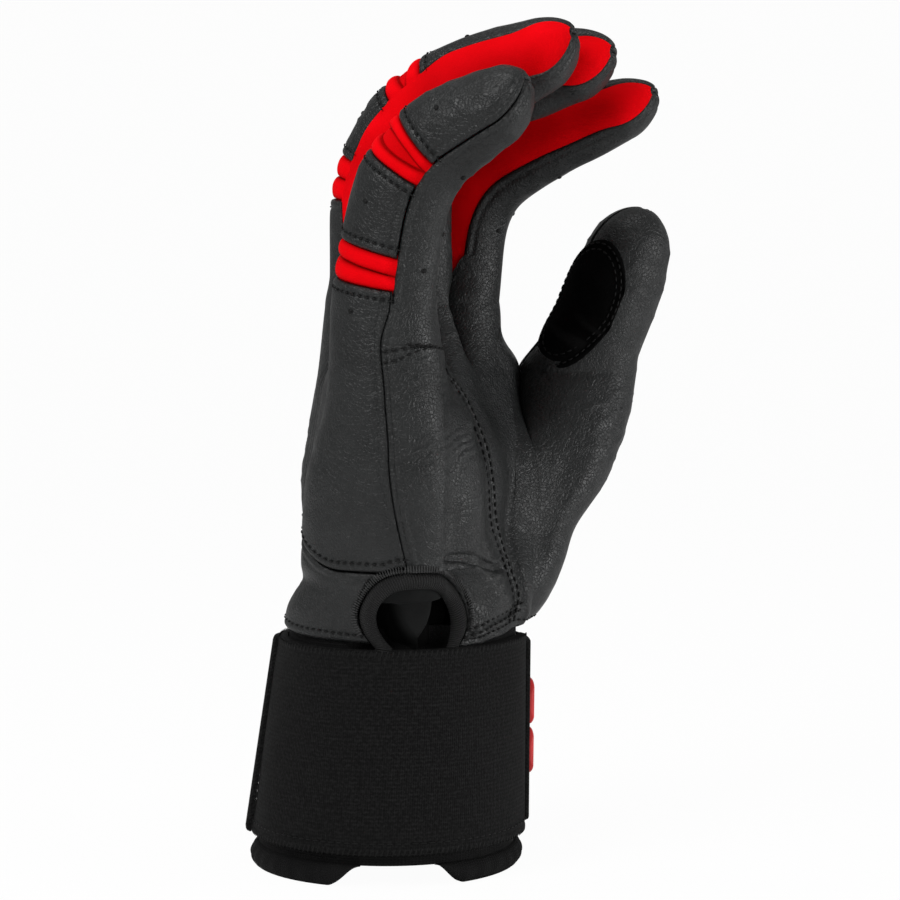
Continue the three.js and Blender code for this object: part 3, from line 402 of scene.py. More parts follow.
def sew(name, paths, pitch, length, radius, slant=0.0, thread=sewing_thread.material):
    """Rows of stitches along paths, each a pair of arrays: points and points a millimetre above them."""
    points, ups, edges, count = [], [], [], 0
    for low, high in paths:
        points.append(low)
        ups.append(unit(high - low))
        edges += [(count + i, count + i + 1) for i in range(len(low) - 1)]
        count += len(low)
    mesh = bpy.data.meshes.new(name)
    mesh.from_pydata(np.concatenate(points) * MM, edges, [])
    up = mesh.attributes.new("up", "FLOAT_VECTOR", "POINT")
    up.data.foreach_set("vector", np.concatenate(ups).astype(np.float32).ravel())
    path = link(name + "_path", mesh)
    rows = path.modifiers.new("sewn_row", "NODES")
    rows.node_group = sewn_row
    sockets = {item.name: item.identifier for item in sewn_row.interface.items_tree}
    for socket, value in (("Pitch", pitch * MM), ("Stitch Length", length * MM), ("Thread Radius", radius * MM),
                          ("Slant", math.radians(slant)), ("Thread", thread)):
        rows[sockets[socket]] = value
    evaluated = path.evaluated_get(bpy.context.evaluated_depsgraph_get())
    sewn = bpy.data.meshes.new_from_object(evaluated)
    sewn.name = name
    sewn.shade_smooth()
    bpy.data.objects.remove(path)
    return link(name, sewn)


# Wrist strap: a wide band of black woven elastic round the cuff, sewn down along both edges, with a
# doubled strip folded along it at the back of the wrist where the band is joined.
STRAP_LOW, STRAP_HIGH, STRAP_THICKNESS, STRAP_LIFT = 9, 64.5, 2.2, 0.3
STRAP_START, STRAP_END = -58, 203
STRIP_AT, STRIP_WIDTH, STRIP_PROUD = 33, 4, 1.4
# Kinds of stitch: pitch, length and radius of the thread.
LOCKSTITCH, OVERLOCK, OVERLOCK_SLANT = (2.3, 1.9, 0.2), (1.5, 2.4, 0.24), 68
strap_face = STRAP_LIFT + STRAP_THICKNESS


def woven_finish():
    """Woven elastic: cords side by side along the band, crossed by a fine weft."""
    weave = Finish("black_woven_elastic", 0.004, 0.85, specular=0.14)
    cords, weft = weave.stripes(1, 1.15), weave.stripes(0, 0.62)
    weave.relief(cords, 0.14, 0.8)
    weave.relief(weft, 0.08, 0.6)
    weave.relief(weave.noise(1300), 0.3, 0.7)
    speckle = weave.span(weave.noise(1500, 2), 0.42, 0.62, 0.15, 1.0)
    # Colour: a random speckle, times painted shade that darkens the grooves between the cords.
    shade = weave.math("MULTIPLY", speckle, weave.span(cords, 0, 1, 0.55, 1.0))
    weave.colour(weave.tint(shade, 0.001, 0.0095))
    weave.roughness(weave.span(weft, 0, 1, 0.72, 0.9))
    return weave.material


woven_elastic = woven_finish()


def strap_piece(name, span, low, high, inner, thickness, material, corner=0.0, soft=0.8, wave=0.0, steps=(160, 70),
                square_start=False):
    """A soft-edged piece of the strap between two angles round the wrist and two heights."""
    around, share = grid(dense_ends(*span, steps[0]), dense_ends(0, 1, steps[1]))
    ends = np.minimum(around - span[0], span[1] - around) * math.radians(CUFF_TOP_WIDTH)
    rounded = (span[1] - around) * math.radians(CUFF_TOP_WIDTH) if square_start else ends
    cut = corner - np.sqrt(corner ** 2 - (corner - np.clip(rounded, 0, corner)) ** 2)
    z = lerp(low + cut, high - cut, share)
    edge = np.minimum(np.minimum(z - low - cut, high - cut - z), ends)
    crest = np.sqrt(np.clip(1 - (1 - np.clip(edge / soft, 0, 1)) ** 2, 0, 1))
    swell = wave * np.sin(np.radians(around) * 7 + z / 17) * smooth(edge, 0, 8)
    out = inner + thickness * (0.3 + 0.7 * crest) + swell
    return shell(name, wrist(around, z, out), wrist(around, z, inner), material)


def strap_path(around, z, out):
    return wrist(around, z, out), wrist(around, z, out + 1)


worn_by(strap_piece("wrist_strap", (STRAP_START, STRAP_END), STRAP_LOW, STRAP_HIGH, STRAP_LIFT, STRAP_THICKNESS,
                    woven_elastic, wave=0.25, steps=(220, 90)), "hand", "strap_band")
strip_half = math.degrees(STRIP_WIDTH / 2 / CUFF_TOP_DEPTH)
worn_by(strap_piece("strap_strip", (STRIP_AT - strip_half, STRIP_AT + strip_half), STRAP_LOW, STRAP_HIGH, strap_face,
                    STRIP_PROUD + STRAP_LIFT, woven_elastic, soft=1.6, steps=(24, 90)),
        "hand", "strap_anchor")

strap_turn = np.linspace(STRAP_START + 2, STRAP_END - 1, 300)
strap_rise = np.linspace(STRAP_LOW + 1.5, STRAP_HIGH - 1.5, 60)
strap_edges = [strap_path(strap_turn, z, strap_face - 0.1) for z in (STRAP_LOW + 1, STRAP_HIGH - 1)]
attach(sew("strap_overlock", strap_edges, *OVERLOCK, OVERLOCK_SLANT), "hand")
strap_seams = [strap_path(strap_turn, STRAP_LOW + 3.4, strap_face + 0.05)]
strap_seams += [strap_path(STRIP_AT + side * (strip_half + 1.4), strap_rise, strap_face + 0.05) for side in (1, -1)]
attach(sew("strap_lockstitch", strap_seams, *LOCKSTITCH), "hand")

# Closing end of the strap: a rounded tab of the same elastic that laps over the palm side and peels
# open. Hook tape is sewn under it, loop tape on the cuff, and two red rubber segments are moulded on it.
TAPE_THICKNESS, TAB_THICKNESS, TAB_MARGIN, TAB_CORNER, TAB_END, TAB_BEND = 0.6, 1.4, 2.5, 7, 296, 9
LOOP_FROM, LOOP_TO = 213, 292
BADGE_FROM, BADGE_TO, BADGE_HEIGHT, BADGE_SPACING, BADGE_MIDDLE, BADGE_PROUD, BADGE_CORNER = (
    213, 254, 13.2, 14.0, 36.5, 1.2, 4)
hook_inner = 2 * STRAP_LIFT + TAPE_THICKNESS
tab_inner = hook_inner + TAPE_THICKNESS + STRAP_LIFT
tab_face = tab_inner + TAB_THICKNESS
tab_low, tab_high = STRAP_LOW + TAB_MARGIN, STRAP_HIGH - TAB_MARGIN


def tape_finish(name, tuft_mm, depth_mm):
    """Hook or loop tape: a close field of small tufts."""
    tape = Finish(name, 0.006, 0.9, specular=0.2)
    tufts = tape.texture("Voronoi", 1 / tuft_mm, tape.coords.outputs["UV"], feature="F1")
    height = tape.span(tufts.outputs["Distance"], 0, 0.7, 1, 0)
    tape.relief(height, depth_mm, 0.9)
    # Painted shade and highlight: the colour follows the tufts' height, dark between them and light on their tops.
    tape.colour(tape.tint(height, 0.002, 0.012))
    return tape.material


def rubber_finish():
    """Red moulded rubber, satin, with a faint ripple from its mould."""
    rubber = Finish("red_rubber", (0.62, 0.008, 0.010), 0.42)
    rubber.relief(rubber.noise(900), 0.05, 0.4)
    rubber.colour(rubber.mottle(140, 3, (0.52, 0.006, 0.008), (0.68, 0.010, 0.012)))
    rubber.roughness(rubber.span(rubber.noise(300, 2), 0.3, 0.7, 0.36, 0.52))
    return rubber.material


def bent(obj, body, next_body, bend, node=None):
    """The piece's transform is baked into its mesh where it stands, and the solid it stands for, if one is named, is
    hidden.
    """
    tuple(bend[0])
    tuple(bend[1])
    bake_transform(obj)
    if node:
        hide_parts(node)


tab = strap_piece("strap_end_tab", (STRAP_END + 0.3, TAB_END), tab_low, tab_high, tab_inner, TAB_THICKNESS,
                  woven_elastic, corner=TAB_CORNER, square_start=True)
tab_bend = wrist([STRAP_END + 1, STRAP_END + 1 + TAB_BEND], (STRAP_LOW + STRAP_HIGH) / 2, tab_inner) * MM
bent(tab, "hand", "strap_end", tab_bend, "strap_tab")
for name, body, short, inner, pile, node in (
        ("loop_tape", "hand", 0, STRAP_LIFT, ("loop_pile", 0.8, 0.4), "loop_patch"),
        ("hook_tape", "strap_end", 1, hook_inner, ("hook_pile", 1.1, 0.5), "hook_patch")):
    worn_by(strap_piece(name, (LOOP_FROM + short, LOOP_TO - short), tab_low + TAB_MARGIN, tab_high - TAB_MARGIN,
                        inner, TAPE_THICKNESS, tape_finish(*pile), soft=0.6, steps=(80, 50)), body, node)
red_rubber = rubber_finish()
for badge, side in (("badge_lower", -1), ("badge_upper", 1)):
    badge_low = BADGE_MIDDLE + (side * BADGE_SPACING - BADGE_HEIGHT) / 2
    worn_by(strap_piece(badge + "_moulding", (BADGE_FROM, BADGE_TO), badge_low, badge_low + BADGE_HEIGHT,
                        tab_face - 0.1, BADGE_PROUD + 0.4, red_rubber, corner=BADGE_CORNER, soft=1.6, steps=(70, 40)),
            "strap_end", badge)

tab_corner_deg = math.degrees(TAB_CORNER / CUFF_TOP_WIDTH)
tab_turn = np.linspace(STRAP_END + 1 + tab_corner_deg, TAB_END - tab_corner_deg, 160)
tab_rise = np.linspace(tab_low + TAB_CORNER, tab_high - TAB_CORNER, 60)
tab_seams = [strap_path(tab_turn, z, tab_face) for z in (tab_low + 1.6, tab_high - 1.6)]
tab_seams += [strap_path(TAB_END - 3, tab_rise, tab_face)]
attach(sew("tab_lockstitch", tab_seams, *LOCKSTITCH), "strap_end")

# Hand form that the leather is cut and stuffed to: four fingers and a thumb as bent tubes, and a palm
# drawn over five rays from the wrist to them. Every leather and stretch piece lies on it.
THUMB_CROTCH_Z, FINGER_CROTCH_Z = 135, 155
CROTCH_BLEND, WEB_HALF, CROTCH_MORPH = 22, 2.2, 9
LINE_FOLLOW, THUMB_FOLLOW = 0.25, 0.6
BACK_BLOUSE, HEEL_BLOUSE = 3, 5
FINGER_HALF_WIDTH, FINGER_PITCH, TIP_LENGTH, FINGER_BILL = 10, 21.5, 10, 0.5
THUMB_LENGTH, THUMB_TIP_LENGTH, THUMB_HALF_DEPTH, THUMB_HALF_WIDTH = 49, 12, 13, 13
THUMB_WEB, THUMB_FACING = 4, math.radians(42)


def hermite(a, b, da, db, t):
    """From a to b with slopes da and db at the ends."""
    return a + (a - b) * (2 * t - 3) * t * t + da * t * (1 - t) ** 2 - db * t * t * (1 - t)


def through(pairs):
    """A smooth curve through (place, value) pairs, level beyond its ends."""
    xs, ys = np.array(pairs, float).T
    n = np.arange(len(xs))
    low, high = np.maximum(n - 1, 0), np.minimum(n + 1, len(xs) - 1)
    slopes = (ys[high] - ys[low]) / (xs[high] - xs[low])

    def value(place):
        x = np.clip(place, xs[0], xs[-1])
        i = np.clip(np.searchsorted(xs, x, side="left") - 1, 0, len(xs) - 2)
        span = xs[i + 1] - xs[i]
        return hermite(ys[i], ys[i + 1], slopes[i] * span, slopes[i + 1] * span, (x - xs[i]) / span)

    return value


class Tube:
    """A finger or the thumb: a tube along a bent spine, closed by a round tip. A finger's bill flattens
    the front of its end and lifts the tip to the back, as on an empty glove."""

    STEP, BILL_LENGTH = 0.25, 16

    def __init__(self, name, x, y, start_z, length, tip, facing, lean_x, lean_y, depth, width, inserts=(), bill=0.0):
        self.name, self.x, self.y, self.start_z, self.length = name, x, y, start_z, length
        self.tip, self.depth, self.width, self.inserts, self.bill = tip, depth, width, inserts, bill
        self.lean_x, self.lean_y = through(lean_x), through(lean_y)
        self.across = np.array((math.sin(facing), -math.cos(facing), 0))
        self.dome_start = length - tip
        places = np.arange(self.STEP / 2, length, self.STEP)
        steps = self.heading(places) * self.STEP
        self.spine = np.vstack([[(x, y, start_z)], np.array((x, y, start_z)) + np.cumsum(steps, axis=0)])
        self.spine_s = np.arange(len(self.spine)) * self.STEP

    def heading(self, s):
        a, b = np.radians(self.lean_x(s)), np.radians(self.lean_y(s))
        return np.stack([np.sin(a), np.sin(b) * np.cos(a), np.cos(b) * np.cos(a)], axis=-1)

    def centre(self, s):
        return np.stack([np.interp(s, self.spine_s, self.spine[:, k]) for k in range(3)], axis=-1)

    def point(self, s, around, inset):
        s, around, inset = np.broadcast_arrays(np.asarray(s, float), around, inset)
        beyond = np.clip((s - self.dome_start) / self.tip, 0, 1)
        on_spine = np.minimum(s, self.dome_start)
        along = self.heading(on_spine)
        back = unit(np.cross(self.across, along))
        side = np.cross(along, back)
        a = np.radians(around)
        dome = np.sqrt(1 - beyond * beyond)
        thinned = 1 - 0.5 * self.bill * smooth(s, self.dome_start - self.BILL_LENGTH, self.length) * (np.cos(a) < 0)
        lifted = self.bill * self.depth(s) * (1 - dome)
        deep = (self.depth(s) - inset) * dome * np.cos(a) * thinned + lifted
        wide = (self.width(s, around) - inset) * dome * np.sin(a)
        reach = beyond * (self.tip - inset)
        return (self.centre(on_spine) + along * reach[..., None] + back * deep[..., None]
                + side * wide[..., None])


def finger_tube(name, x, lane, length, depths, lower, upper, lean):
    """A finger in its lane, with the places of its two inserts."""
    knuckle = sum(upper) / 2
    depth = through([(0, depths[0]), (knuckle, depths[1]), (length, depths[2])])
    width = through([(0, FINGER_HALF_WIDTH), (knuckle, FINGER_HALF_WIDTH), (length, FINGER_HALF_WIDTH - 1)])
    return Tube(name, x, lane * FINGER_PITCH, FINGER_CROTCH_Z, length, TIP_LENGTH, 0, lean, [(0, 0), (1, 0)],
                depth, lambda s, around: width(s), (lower, upper), FINGER_BILL)


pinky = finger_tube("pinky", 11, -1.5, 79, (14.5, 13.3, 10), (6, 14.5), (34, 43),
                    [(0, 6), (12, 10), (27, 16), (42, 42), (54, 63), (77, 71)])
ring = finger_tube("ring", -2.5, -0.5, 106, (13.5, 13, 10), (28, 37), (54, 64),
                   [(0, 0), (24, 2), (34, 18), (50, 42), (62, 60), (78, 72), (102, 77)])
middle = finger_tube("middle", -6, 0.5, 110, (14, 13.5, 10), (31, 40), (57, 67),
                     [(0, 0), (27, 3), (37, 20), (52, 44), (65, 64), (82, 78), (108, 95)])
index = finger_tube("index", -2, 1.5, 95, (14, 13, 8), (18, 27), (41, 51),
                    [(0, 6), (18, 10), (30, 28), (44, 58), (56, 68), (95, 80)])
fingers = [pinky, ring, middle, index]


def thumb_width(s, around):
    """Half the thumb's width, with the web at its foot."""
    web = np.maximum(np.sin(np.radians(around)), 0) * THUMB_WEB * (1 - smooth(s, 0, 16))
    return THUMB_HALF_WIDTH + web - 2.5 * smooth(s, 25, THUMB_LENGTH)


thumb_depth = through([(0, THUMB_HALF_DEPTH), (25, THUMB_HALF_DEPTH), (THUMB_LENGTH, THUMB_HALF_DEPTH - 3)])
thumb = Tube("thumb", 30, 57.5, THUMB_CROTCH_Z, THUMB_LENGTH, THUMB_TIP_LENGTH, -THUMB_FACING,
             [(0, 0), (14, 17), (THUMB_LENGTH, 17)], [(0, 0), (12, 11), (THUMB_LENGTH, 4)], thumb_depth, thumb_width)

# Each ray's stations: share of the way from wrist to crotch, place, and reach to back, palm and side.
tubes = [*fingers, thumb]
INDEX_RAY, THUMB_RAY = 3, 4
wrist_shares = (-0.57, -0.3, 0, 0.3, 0.57)
ray_stations = [
    [(0.28, 6, -27, 20, 21, 12.5), (0.5, 9, -30, 17, 19, 12), (0.78, 11.5, -32, 15.5, 16, 11)],
    [(0.28, -1, -11, 23, 28, 0), (0.5, -1, -11, 22, 28, 0), (0.78, -3, -11, 15.5, 21, 0)],
    [(0.28, 0, 5, 25, 28, 0), (0.5, 0, 9, 24, 27, 0), (0.78, -5, 10.5, 16, 21, 0)],
    [(0.28, 3, 19, 23, 25, 0), (0.5, 4, 27, 22, 22, 0), (0.78, -1, 31.5, 15.5, 17, 0)],
    [(0.36, 18.5, 34, 16, 17, 13), (0.57, 25.5, 42, 15, 15, 15), (0.8, 29, 51, 14, 14, 14.5)],
]


def ray_curves(i):
    """The five curves of a ray up the hand: x, y, and its reach to the back, palm and side."""
    end = tubes[i]
    y = wrist_shares[i] * CUFF_TOP_WIDTH
    deep = CUFF_TOP_DEPTH * math.sqrt(1 - wrist_shares[i] ** 2)
    reach = float(end.depth(0.0))
    stations = [(0, 0, y, deep, deep, CUFF_TOP_WIDTH - abs(y)), *ray_stations[i],
                (1, end.x, end.y, reach, reach, float(end.width(0.0, 270.0)))]
    heights = [lerp(WRIST_Z, end.start_z, s[0]) for s in stations]
    return [through(list(zip(heights, (s[k] for s in stations)))) for k in range(1, 6)]


curves = [ray_curves(i) for i in range(5)]


def rays_at(z):
    """Centres (5, n, 2) of all rays at heights z, and their reach (5, n) to back, palm and side."""
    values = np.array([[curve(z) for curve in ray] for ray in curves])
    return np.stack([values[:, 0], values[:, 1]], axis=-1), values[:, 2], values[:, 3], values[:, 4]


def middle_line(u, z):
    """The line through the middle of the hand at height z, and the direction it runs in."""
    i = np.clip(np.floor(u).astype(int), 0, THUMB_RAY - 1)
    n = np.arange(len(u))
    t = (u - i)[:, None]
    level = np.where(i == INDEX_RAY, np.minimum(z, THUMB_CROTCH_Z), z)
    centres = rays_at(level)[0]
    tangents = np.empty_like(centres)
    for k in range(5):
        chord = centres[min(k + 1, THUMB_RAY)] - centres[max(k - 1, 0)]
        chord = chord * (1.0 if k in (0, THUMB_RAY) else 0.5)
        facing = THUMB_FACING if k == THUMB_RAY else 0.0
        own = np.array((math.sin(facing), math.cos(facing))) * FINGER_PITCH
        crotch = THUMB_CROTCH_Z if k >= INDEX_RAY else FINGER_CROTCH_Z
        tangents[k] = lerp(chord, own, smooth(level, crotch - 2 * CROTCH_BLEND, crotch)[:, None])
    a, b, da, db = centres[i, n], centres[i + 1, n], tangents[i, n], tangents[i + 1, n]
    at = hermite(a, b, da, db, t)
    along = unit((b - a) * 6 * t * (1 - t) + da * (1 - t) * (1 - 3 * t) + db * t * (3 * t - 2))
    chord = unit(centres[THUMB_RAY] - centres[0])
    crotch = lerp(FINGER_CROTCH_Z, THUMB_CROTCH_Z, smooth(u, INDEX_RAY - 1, INDEX_RAY))
    own = lerp(LINE_FOLLOW, 1, smooth(level, crotch - 2 * CROTCH_BLEND, crotch))
    follow = np.maximum(own, smooth(u, INDEX_RAY, THUMB_RAY) * THUMB_FOLLOW)[:, None]
    along = unit(lerp(chord, along, follow))
    lone = rays_at(z)[0][INDEX_RAY] + np.stack([np.zeros_like(u), 2 * t[:, 0] * FINGER_HALF_WIDTH], axis=1)
    free = smooth(z, THUMB_CROTCH_Z, FINGER_CROTCH_Z) * (i == INDEX_RAY)
    at = lerp(at, lone, free[:, None])
    return at, unit(lerp(along, np.array((0.0, 1.0)), free[:, None]))


def lobes(q):
    """Which ray each q lies on, how far along the row of rays, the angle round it, and palm or cap.
    q runs 0 to 4 over the back from thumb to little finger, to 5 round the little-finger side, to 9
    over the palm and to 10 round the thumb side."""
    turn = np.mod(q, 10)
    ulnar, radial, palm = (turn >= 4) & (turn <= 5), turn >= 9, turn > 5
    u = np.clip(np.where(palm, turn - 5, 4 - turn), 0, THUMB_RAY)
    ray = np.ceil(u - 0.5).astype(int)
    swing = np.degrees(np.arcsin(np.clip(2 * (u - ray), -1, 1)))
    around = np.where(palm, 180 + swing, -swing)
    around = np.where(ulnar, (turn - 4) * 180, np.where(radial, 180 + (turn - 9) * 180, around))
    ray = np.where(ulnar, 0, np.where(radial, THUMB_RAY, ray))
    u = np.where(ulnar, 0.0, np.where(radial, float(THUMB_RAY), u))
    return ray, u, around, palm, ulnar | radial


back_rolls = through([(WRIST_Z, 0), (69, 0.35), (74, 0.45), (78, 0.1), (81.5, -0.3), (86, 0.25), (94, 0.85),
                      (102, 1.2), (110, 1.3), (118, 0.85), (128, 0.2), (136, 0)])
heel_roll = through([(WRIST_Z, 0), (69, 0.75), (75, 1), (82, 0.8), (92, 0.15), (102, 0)])


def blouse(q, z):
    """How far the leather bags out above the strap, on the back and over the heel of the thumb."""
    turn = np.mod(q, 10)
    on_back = smooth(turn, 0, 0.8) * (1 - smooth(turn, 4.1, 4.6))
    on_heel = np.where(turn > 5, smooth(turn, 7, 8.2), 1 - smooth(turn, 0, 0.8))
    over_strap = 0.9 * smooth(turn, 4.4, 5) * (1 - smooth(turn, 7, 8)) * (1 - smooth(z, 67, 76))
    return BACK_BLOUSE * on_back * back_rolls(z) + HEEL_BLOUSE * on_heel * heel_roll(z) + over_strap


def palm_form(q, z, inset):
    """Points of the hand below the crotches."""
    ray, u, around, palm, cap = lobes(q)
    at, along = middle_line(u, z)
    _, back_reach, palm_reach, side_reach = rays_at(z)
    n = np.arange(len(q))
    low = np.clip(np.floor(u).astype(int), 0, THUMB_RAY - 1)
    share = smooth(u - low, 0, 1)
    free = (low == INDEX_RAY) & (z > THUMB_CROTCH_Z)
    share = np.where(free, 0, share)
    reach_of = lambda table: lerp(table[low, n], table[low + 1, n], share)
    full = np.where(palm, reach_of(palm_reach), reach_of(back_reach))
    valley = ray + np.where(u < ray, -0.5, 0.5)
    crotch = np.where(valley > INDEX_RAY, THUMB_CROTCH_Z, FINGER_CROTCH_Z)
    pinch = smooth(z, crotch - CROTCH_BLEND, crotch) * ((valley > 0) & (valley < THUMB_RAY))
    arch = np.sqrt(np.maximum(1 - (1 - 2 * np.abs(u - valley)) ** 2, 0))
    reach = np.maximum(lerp(full, full * arch, pinch), WEB_HALF) - inset
    a = np.radians(around)
    cap_deep = (np.where(np.cos(a) > 0, back_reach[ray, n], palm_reach[ray, n]) - inset) * np.cos(a)
    cap_wide = -(side_reach[ray, n] - inset) * np.sin(a)
    deep = np.where(cap, cap_deep, np.where(palm, -reach, reach))
    wide = np.where(cap, cap_wide, 0)
    return np.stack([at[:, 0] - along[:, 1] * deep + along[:, 0] * wide,
                     at[:, 1] + along[:, 0] * deep + along[:, 1] * wide, z], axis=1)


def hand(q, z, inset):
    """Points of the hand's surface, which above a crotch passes over into a finger or the thumb."""
    q, z, inset = np.broadcast_arrays(np.asarray(q, float), np.asarray(z, float), inset)
    shape = q.shape
    inset = (inset - blouse(q, z)).ravel()
    q, z = q.ravel(), z.ravel()
    ray, _, around, _, _ = lobes(q)
    starts = np.array([end.start_z for end in tubes], float)[ray]
    points = palm_form(q, np.minimum(z, starts), inset)
    for k, end in enumerate(tubes):
        above = (ray == k) & (z > end.start_z)
        if above.any():
            s = z[above] - end.start_z
            carried = points[above] + end.centre(s) - end.centre(0.0)
            standing = end.point(s, around[above], inset[above])
            points[above] = lerp(carried, standing, smooth(s, 0, CROTCH_MORPH)[:, None])
    return points.reshape(*shape, 3)


# Leather of the hand: charcoal goatskin about a millimetre thick, cut in panels. Their edges are turned
# under and sewn into a groove at each seam, with painted shade darkening the leather along it. The palm runs up the
# front of the fingers.
LEATHER, GAP, FRONT_LAP, THUMB_LAP_Z = 1.2, 0.3, 8, 128
BACK_EDGE, OUTER_SEAM, FRONT_EDGE = 63, 122, 118
SEAM_FOOT, SEAM_REACH = 138.6, 0.5
BACK_SEAM_Z, BACK_SEAM_RISE = 85.5, 9
VENT_WIDTH, VENT_HEIGHT, VENT_SHIFT, VENT_SQUARE = 36.5, 20.5, 2.6, 2.8
VENT_CURL, VENT_CURL_Z = 6.2, 77
LOWER_SLIDE, UPPER_SLIDE = 4, 2.3
BOTH_SIDES = ("left", "right")
ALL_ROUND = (*BOTH_SIDES, "low", "high")
# Rows of stitches lie so far from a seam or from the leather's foot. A vent hole is drawn as a single black stitch, a
# dark bead of painted shade for the hole's dark inside.
SEAM_ROW, FOOT_ROW, THREAD_LIFT = 2.4, 2.6, 0.02
LEATHER_STITCH, HOLE = (2.2, 1.5, 0.26), (5, 2.0, 0.8)
outer_back = (-BACK_EDGE, -BACK_EDGE, -BACK_EDGE, -90)
inner_back = (OUTER_SEAM, BACK_EDGE, BACK_EDGE, BACK_EDGE)
front_from = (OUTER_SEAM, FRONT_EDGE, FRONT_EDGE, FRONT_EDGE)
front_to = (360 - FRONT_EDGE, 360 - FRONT_EDGE, 360 - FRONT_EDGE, 270)


def round_length(q, z):
    """Millimetres round the hand for one step of q."""
    step = 0.01
    return float(np.linalg.norm(hand([q + step], [z], 0)[0] - hand([q - step], [z], 0)[0]) / (2 * step))


SEAM_Q = 4 + SEAM_FOOT / 180
seam_half_q = 0.12 / round_length(SEAM_Q, THUMB_CROTCH_Z)
web_half_q = 0.05 / round_length(0.5, THUMB_CROTCH_Z - CROTCH_BLEND)
seam_drift = through([(88, 0), (103, 0.65), (119, 1.2), (132, 1.8), (146, 1.8), (FINGER_CROTCH_Z, 1)])
vent_turns = np.linspace(SEAM_Q - 1.5, SEAM_Q + 3, 400)
vent_lengths = lengths(hand(vent_turns, WRIST_Z + VENT_HEIGHT / 2, 0.0)[:, None], 0)[:, 0]
vent_middle = np.interp(SEAM_Q, vent_turns, vent_lengths) + VENT_SHIFT
vent_top = WRIST_Z + GAP + VENT_HEIGHT


def from_vent(q):
    """Millimetres round the wrist from the middle of the vent."""
    return np.interp(q, vent_turns, vent_lengths) - vent_middle


def beside_vent(mm):
    return np.interp(vent_middle + mm, vent_lengths, vent_turns)


def laid(q, z):
    """Leather lies along the outer seam, which drifts to the back on its way up, and curls in under the vent."""
    beside = 1 - smooth(np.abs(q - SEAM_Q), 0, SEAM_REACH)
    drifted = q - (SEAM_FOOT - OUTER_SEAM) / 180 * seam_drift(z) * beside
    mm = from_vent(q)
    low = np.clip((VENT_CURL_Z - z) / (VENT_CURL_Z - WRIST_Z), 0, 1) ** 2
    pull = VENT_CURL * low * (1 - smooth(np.abs(mm), VENT_WIDTH / 2, VENT_WIDTH))
    pulled = beside_vent(mm - np.sign(mm) * np.minimum(pull, np.abs(mm)))
    return np.where(pull > 0, pulled, drifted)


def leather_foot(q):
    """Height of the leather's lower edge: higher at the back, lowest on the palm beside the vent."""
    turn = np.mod(q + 1, 10) - 1
    back = 3.0 * smooth(turn, 0.5, 2) * (1 - smooth(turn, 3.9, 4.45))
    heel = 0.4 * np.where(turn > 5, smooth(turn, 6, 8), 1 - smooth(turn, 0, 1.5))
    palm_side = 2.2 * smooth(turn, 4.5, 5) * (1 - smooth(turn, 6, 7.8))
    return WRIST_Z + 1.2 + back + heel - palm_side


def squared(x):
    return np.sign(x) * np.abs(x) ** (2 / VENT_SQUARE)


def arch_share(t):
    """Height of the vent's squared arch, as a share, at a share of its half width."""
    return np.maximum(1 - np.abs(t) ** VENT_SQUARE, 0) ** (1 / VENT_SQUARE)


def leather_bottom(q):
    """Lower edge of the leather, arched over the vent."""
    return lerp(leather_foot(q), vent_top, arch_share(from_vent(q) / (VENT_WIDTH / 2)))


def wrist_top(q):
    """Seam between the wrist piece and the back panels."""
    seam = BACK_SEAM_Z + BACK_SEAM_RISE * (1 - smooth(q, SEAM_Q - 0.77, SEAM_Q - 0.32))
    return np.maximum(seam, leather_bottom(q) + LEATHER)


def hinge_of(finger, k):
    """Where a finger bends, in the middle of its lower (0) or upper (1) insert."""
    return sum(finger.inserts[k]) / 2


def slid(finger, s, around):
    """The little finger's inserts sit askew: its seams slide along the finger, one side further."""
    share = (around + BACK_EDGE) / (OUTER_SEAM + BACK_EDGE)
    lower, upper = hinge_of(finger, 0), hinge_of(finger, 1)
    at_lower = np.interp(s, (0, lower, upper), (0, 1, 0)) * LOWER_SLIDE * (1 - share)
    at_upper = np.interp(s, (lower, upper, finger.length), (0, 1, 0)) * UPPER_SLIDE * (1 + share)
    return s + (at_lower + at_upper) * (finger is pinky)


def hand_edge(q):
    """How far up each finger the leather of the hand reaches."""
    ray, _, around, _, _ = lobes(q)
    reach = np.zeros_like(q)
    for k, finger in enumerate(fingers):
        turned = np.where((around > front_to[k] + 1e-6) & (around > 270 - 1e-6), around - 360, around)
        back_top = slid(finger, finger.inserts[0][0] - GAP / 2, turned)
        front_top = hinge_of(finger, 0) - FRONT_LAP
        fall = np.where(turned < 180, turned - 90, 270 - turned)
        top = front_top * np.clip(fall / (FRONT_EDGE - 90), 0, 1)
        back_fall = back_top * np.clip((90 - np.abs(turned)) / (90 - BACK_EDGE), 0, 1) ** 2
        top = np.where(np.abs(turned) < 90, back_fall, top)
        top = np.where((turned >= front_from[k]) & (turned <= front_to[k]), front_top, top)
        top = np.where((turned >= outer_back[k]) & (turned <= inner_back[k]), back_top, top)
        reach = np.where(ray == k, top, reach)
    return reach


def panel_z(q, level, bottom):
    """A level runs 0 to 1 from a panel's foot to the thumb crotch, to 2 at the finger crotch, to 3 at its top."""
    foot = lerp(bottom(q), THUMB_CROTCH_Z, level)
    body = lerp(THUMB_CROTCH_Z, FINGER_CROTCH_Z, level - 1)
    finger = FINGER_CROTCH_Z + (level - 2) * hand_edge(laid(q, FINGER_CROTCH_Z))
    return np.where(level <= 1, foot, np.where(level <= 2, body, finger))


def sheet(bottom):
    """Places on a panel from q and a level."""
    def place(q, level, inset):
        z = panel_z(q, level, bottom)
        return hand(laid(q, z), z, inset)
    return place


def noise_field(points, scale, seed):
    """Smooth noise over points, with a size in millimetres along each axis."""
    scaled = points.reshape(-1, 3) / np.asarray(scale, float) + seed * 7.31
    return np.array([noise.noise(p) for p in scaled]).reshape(points.shape[:-1])


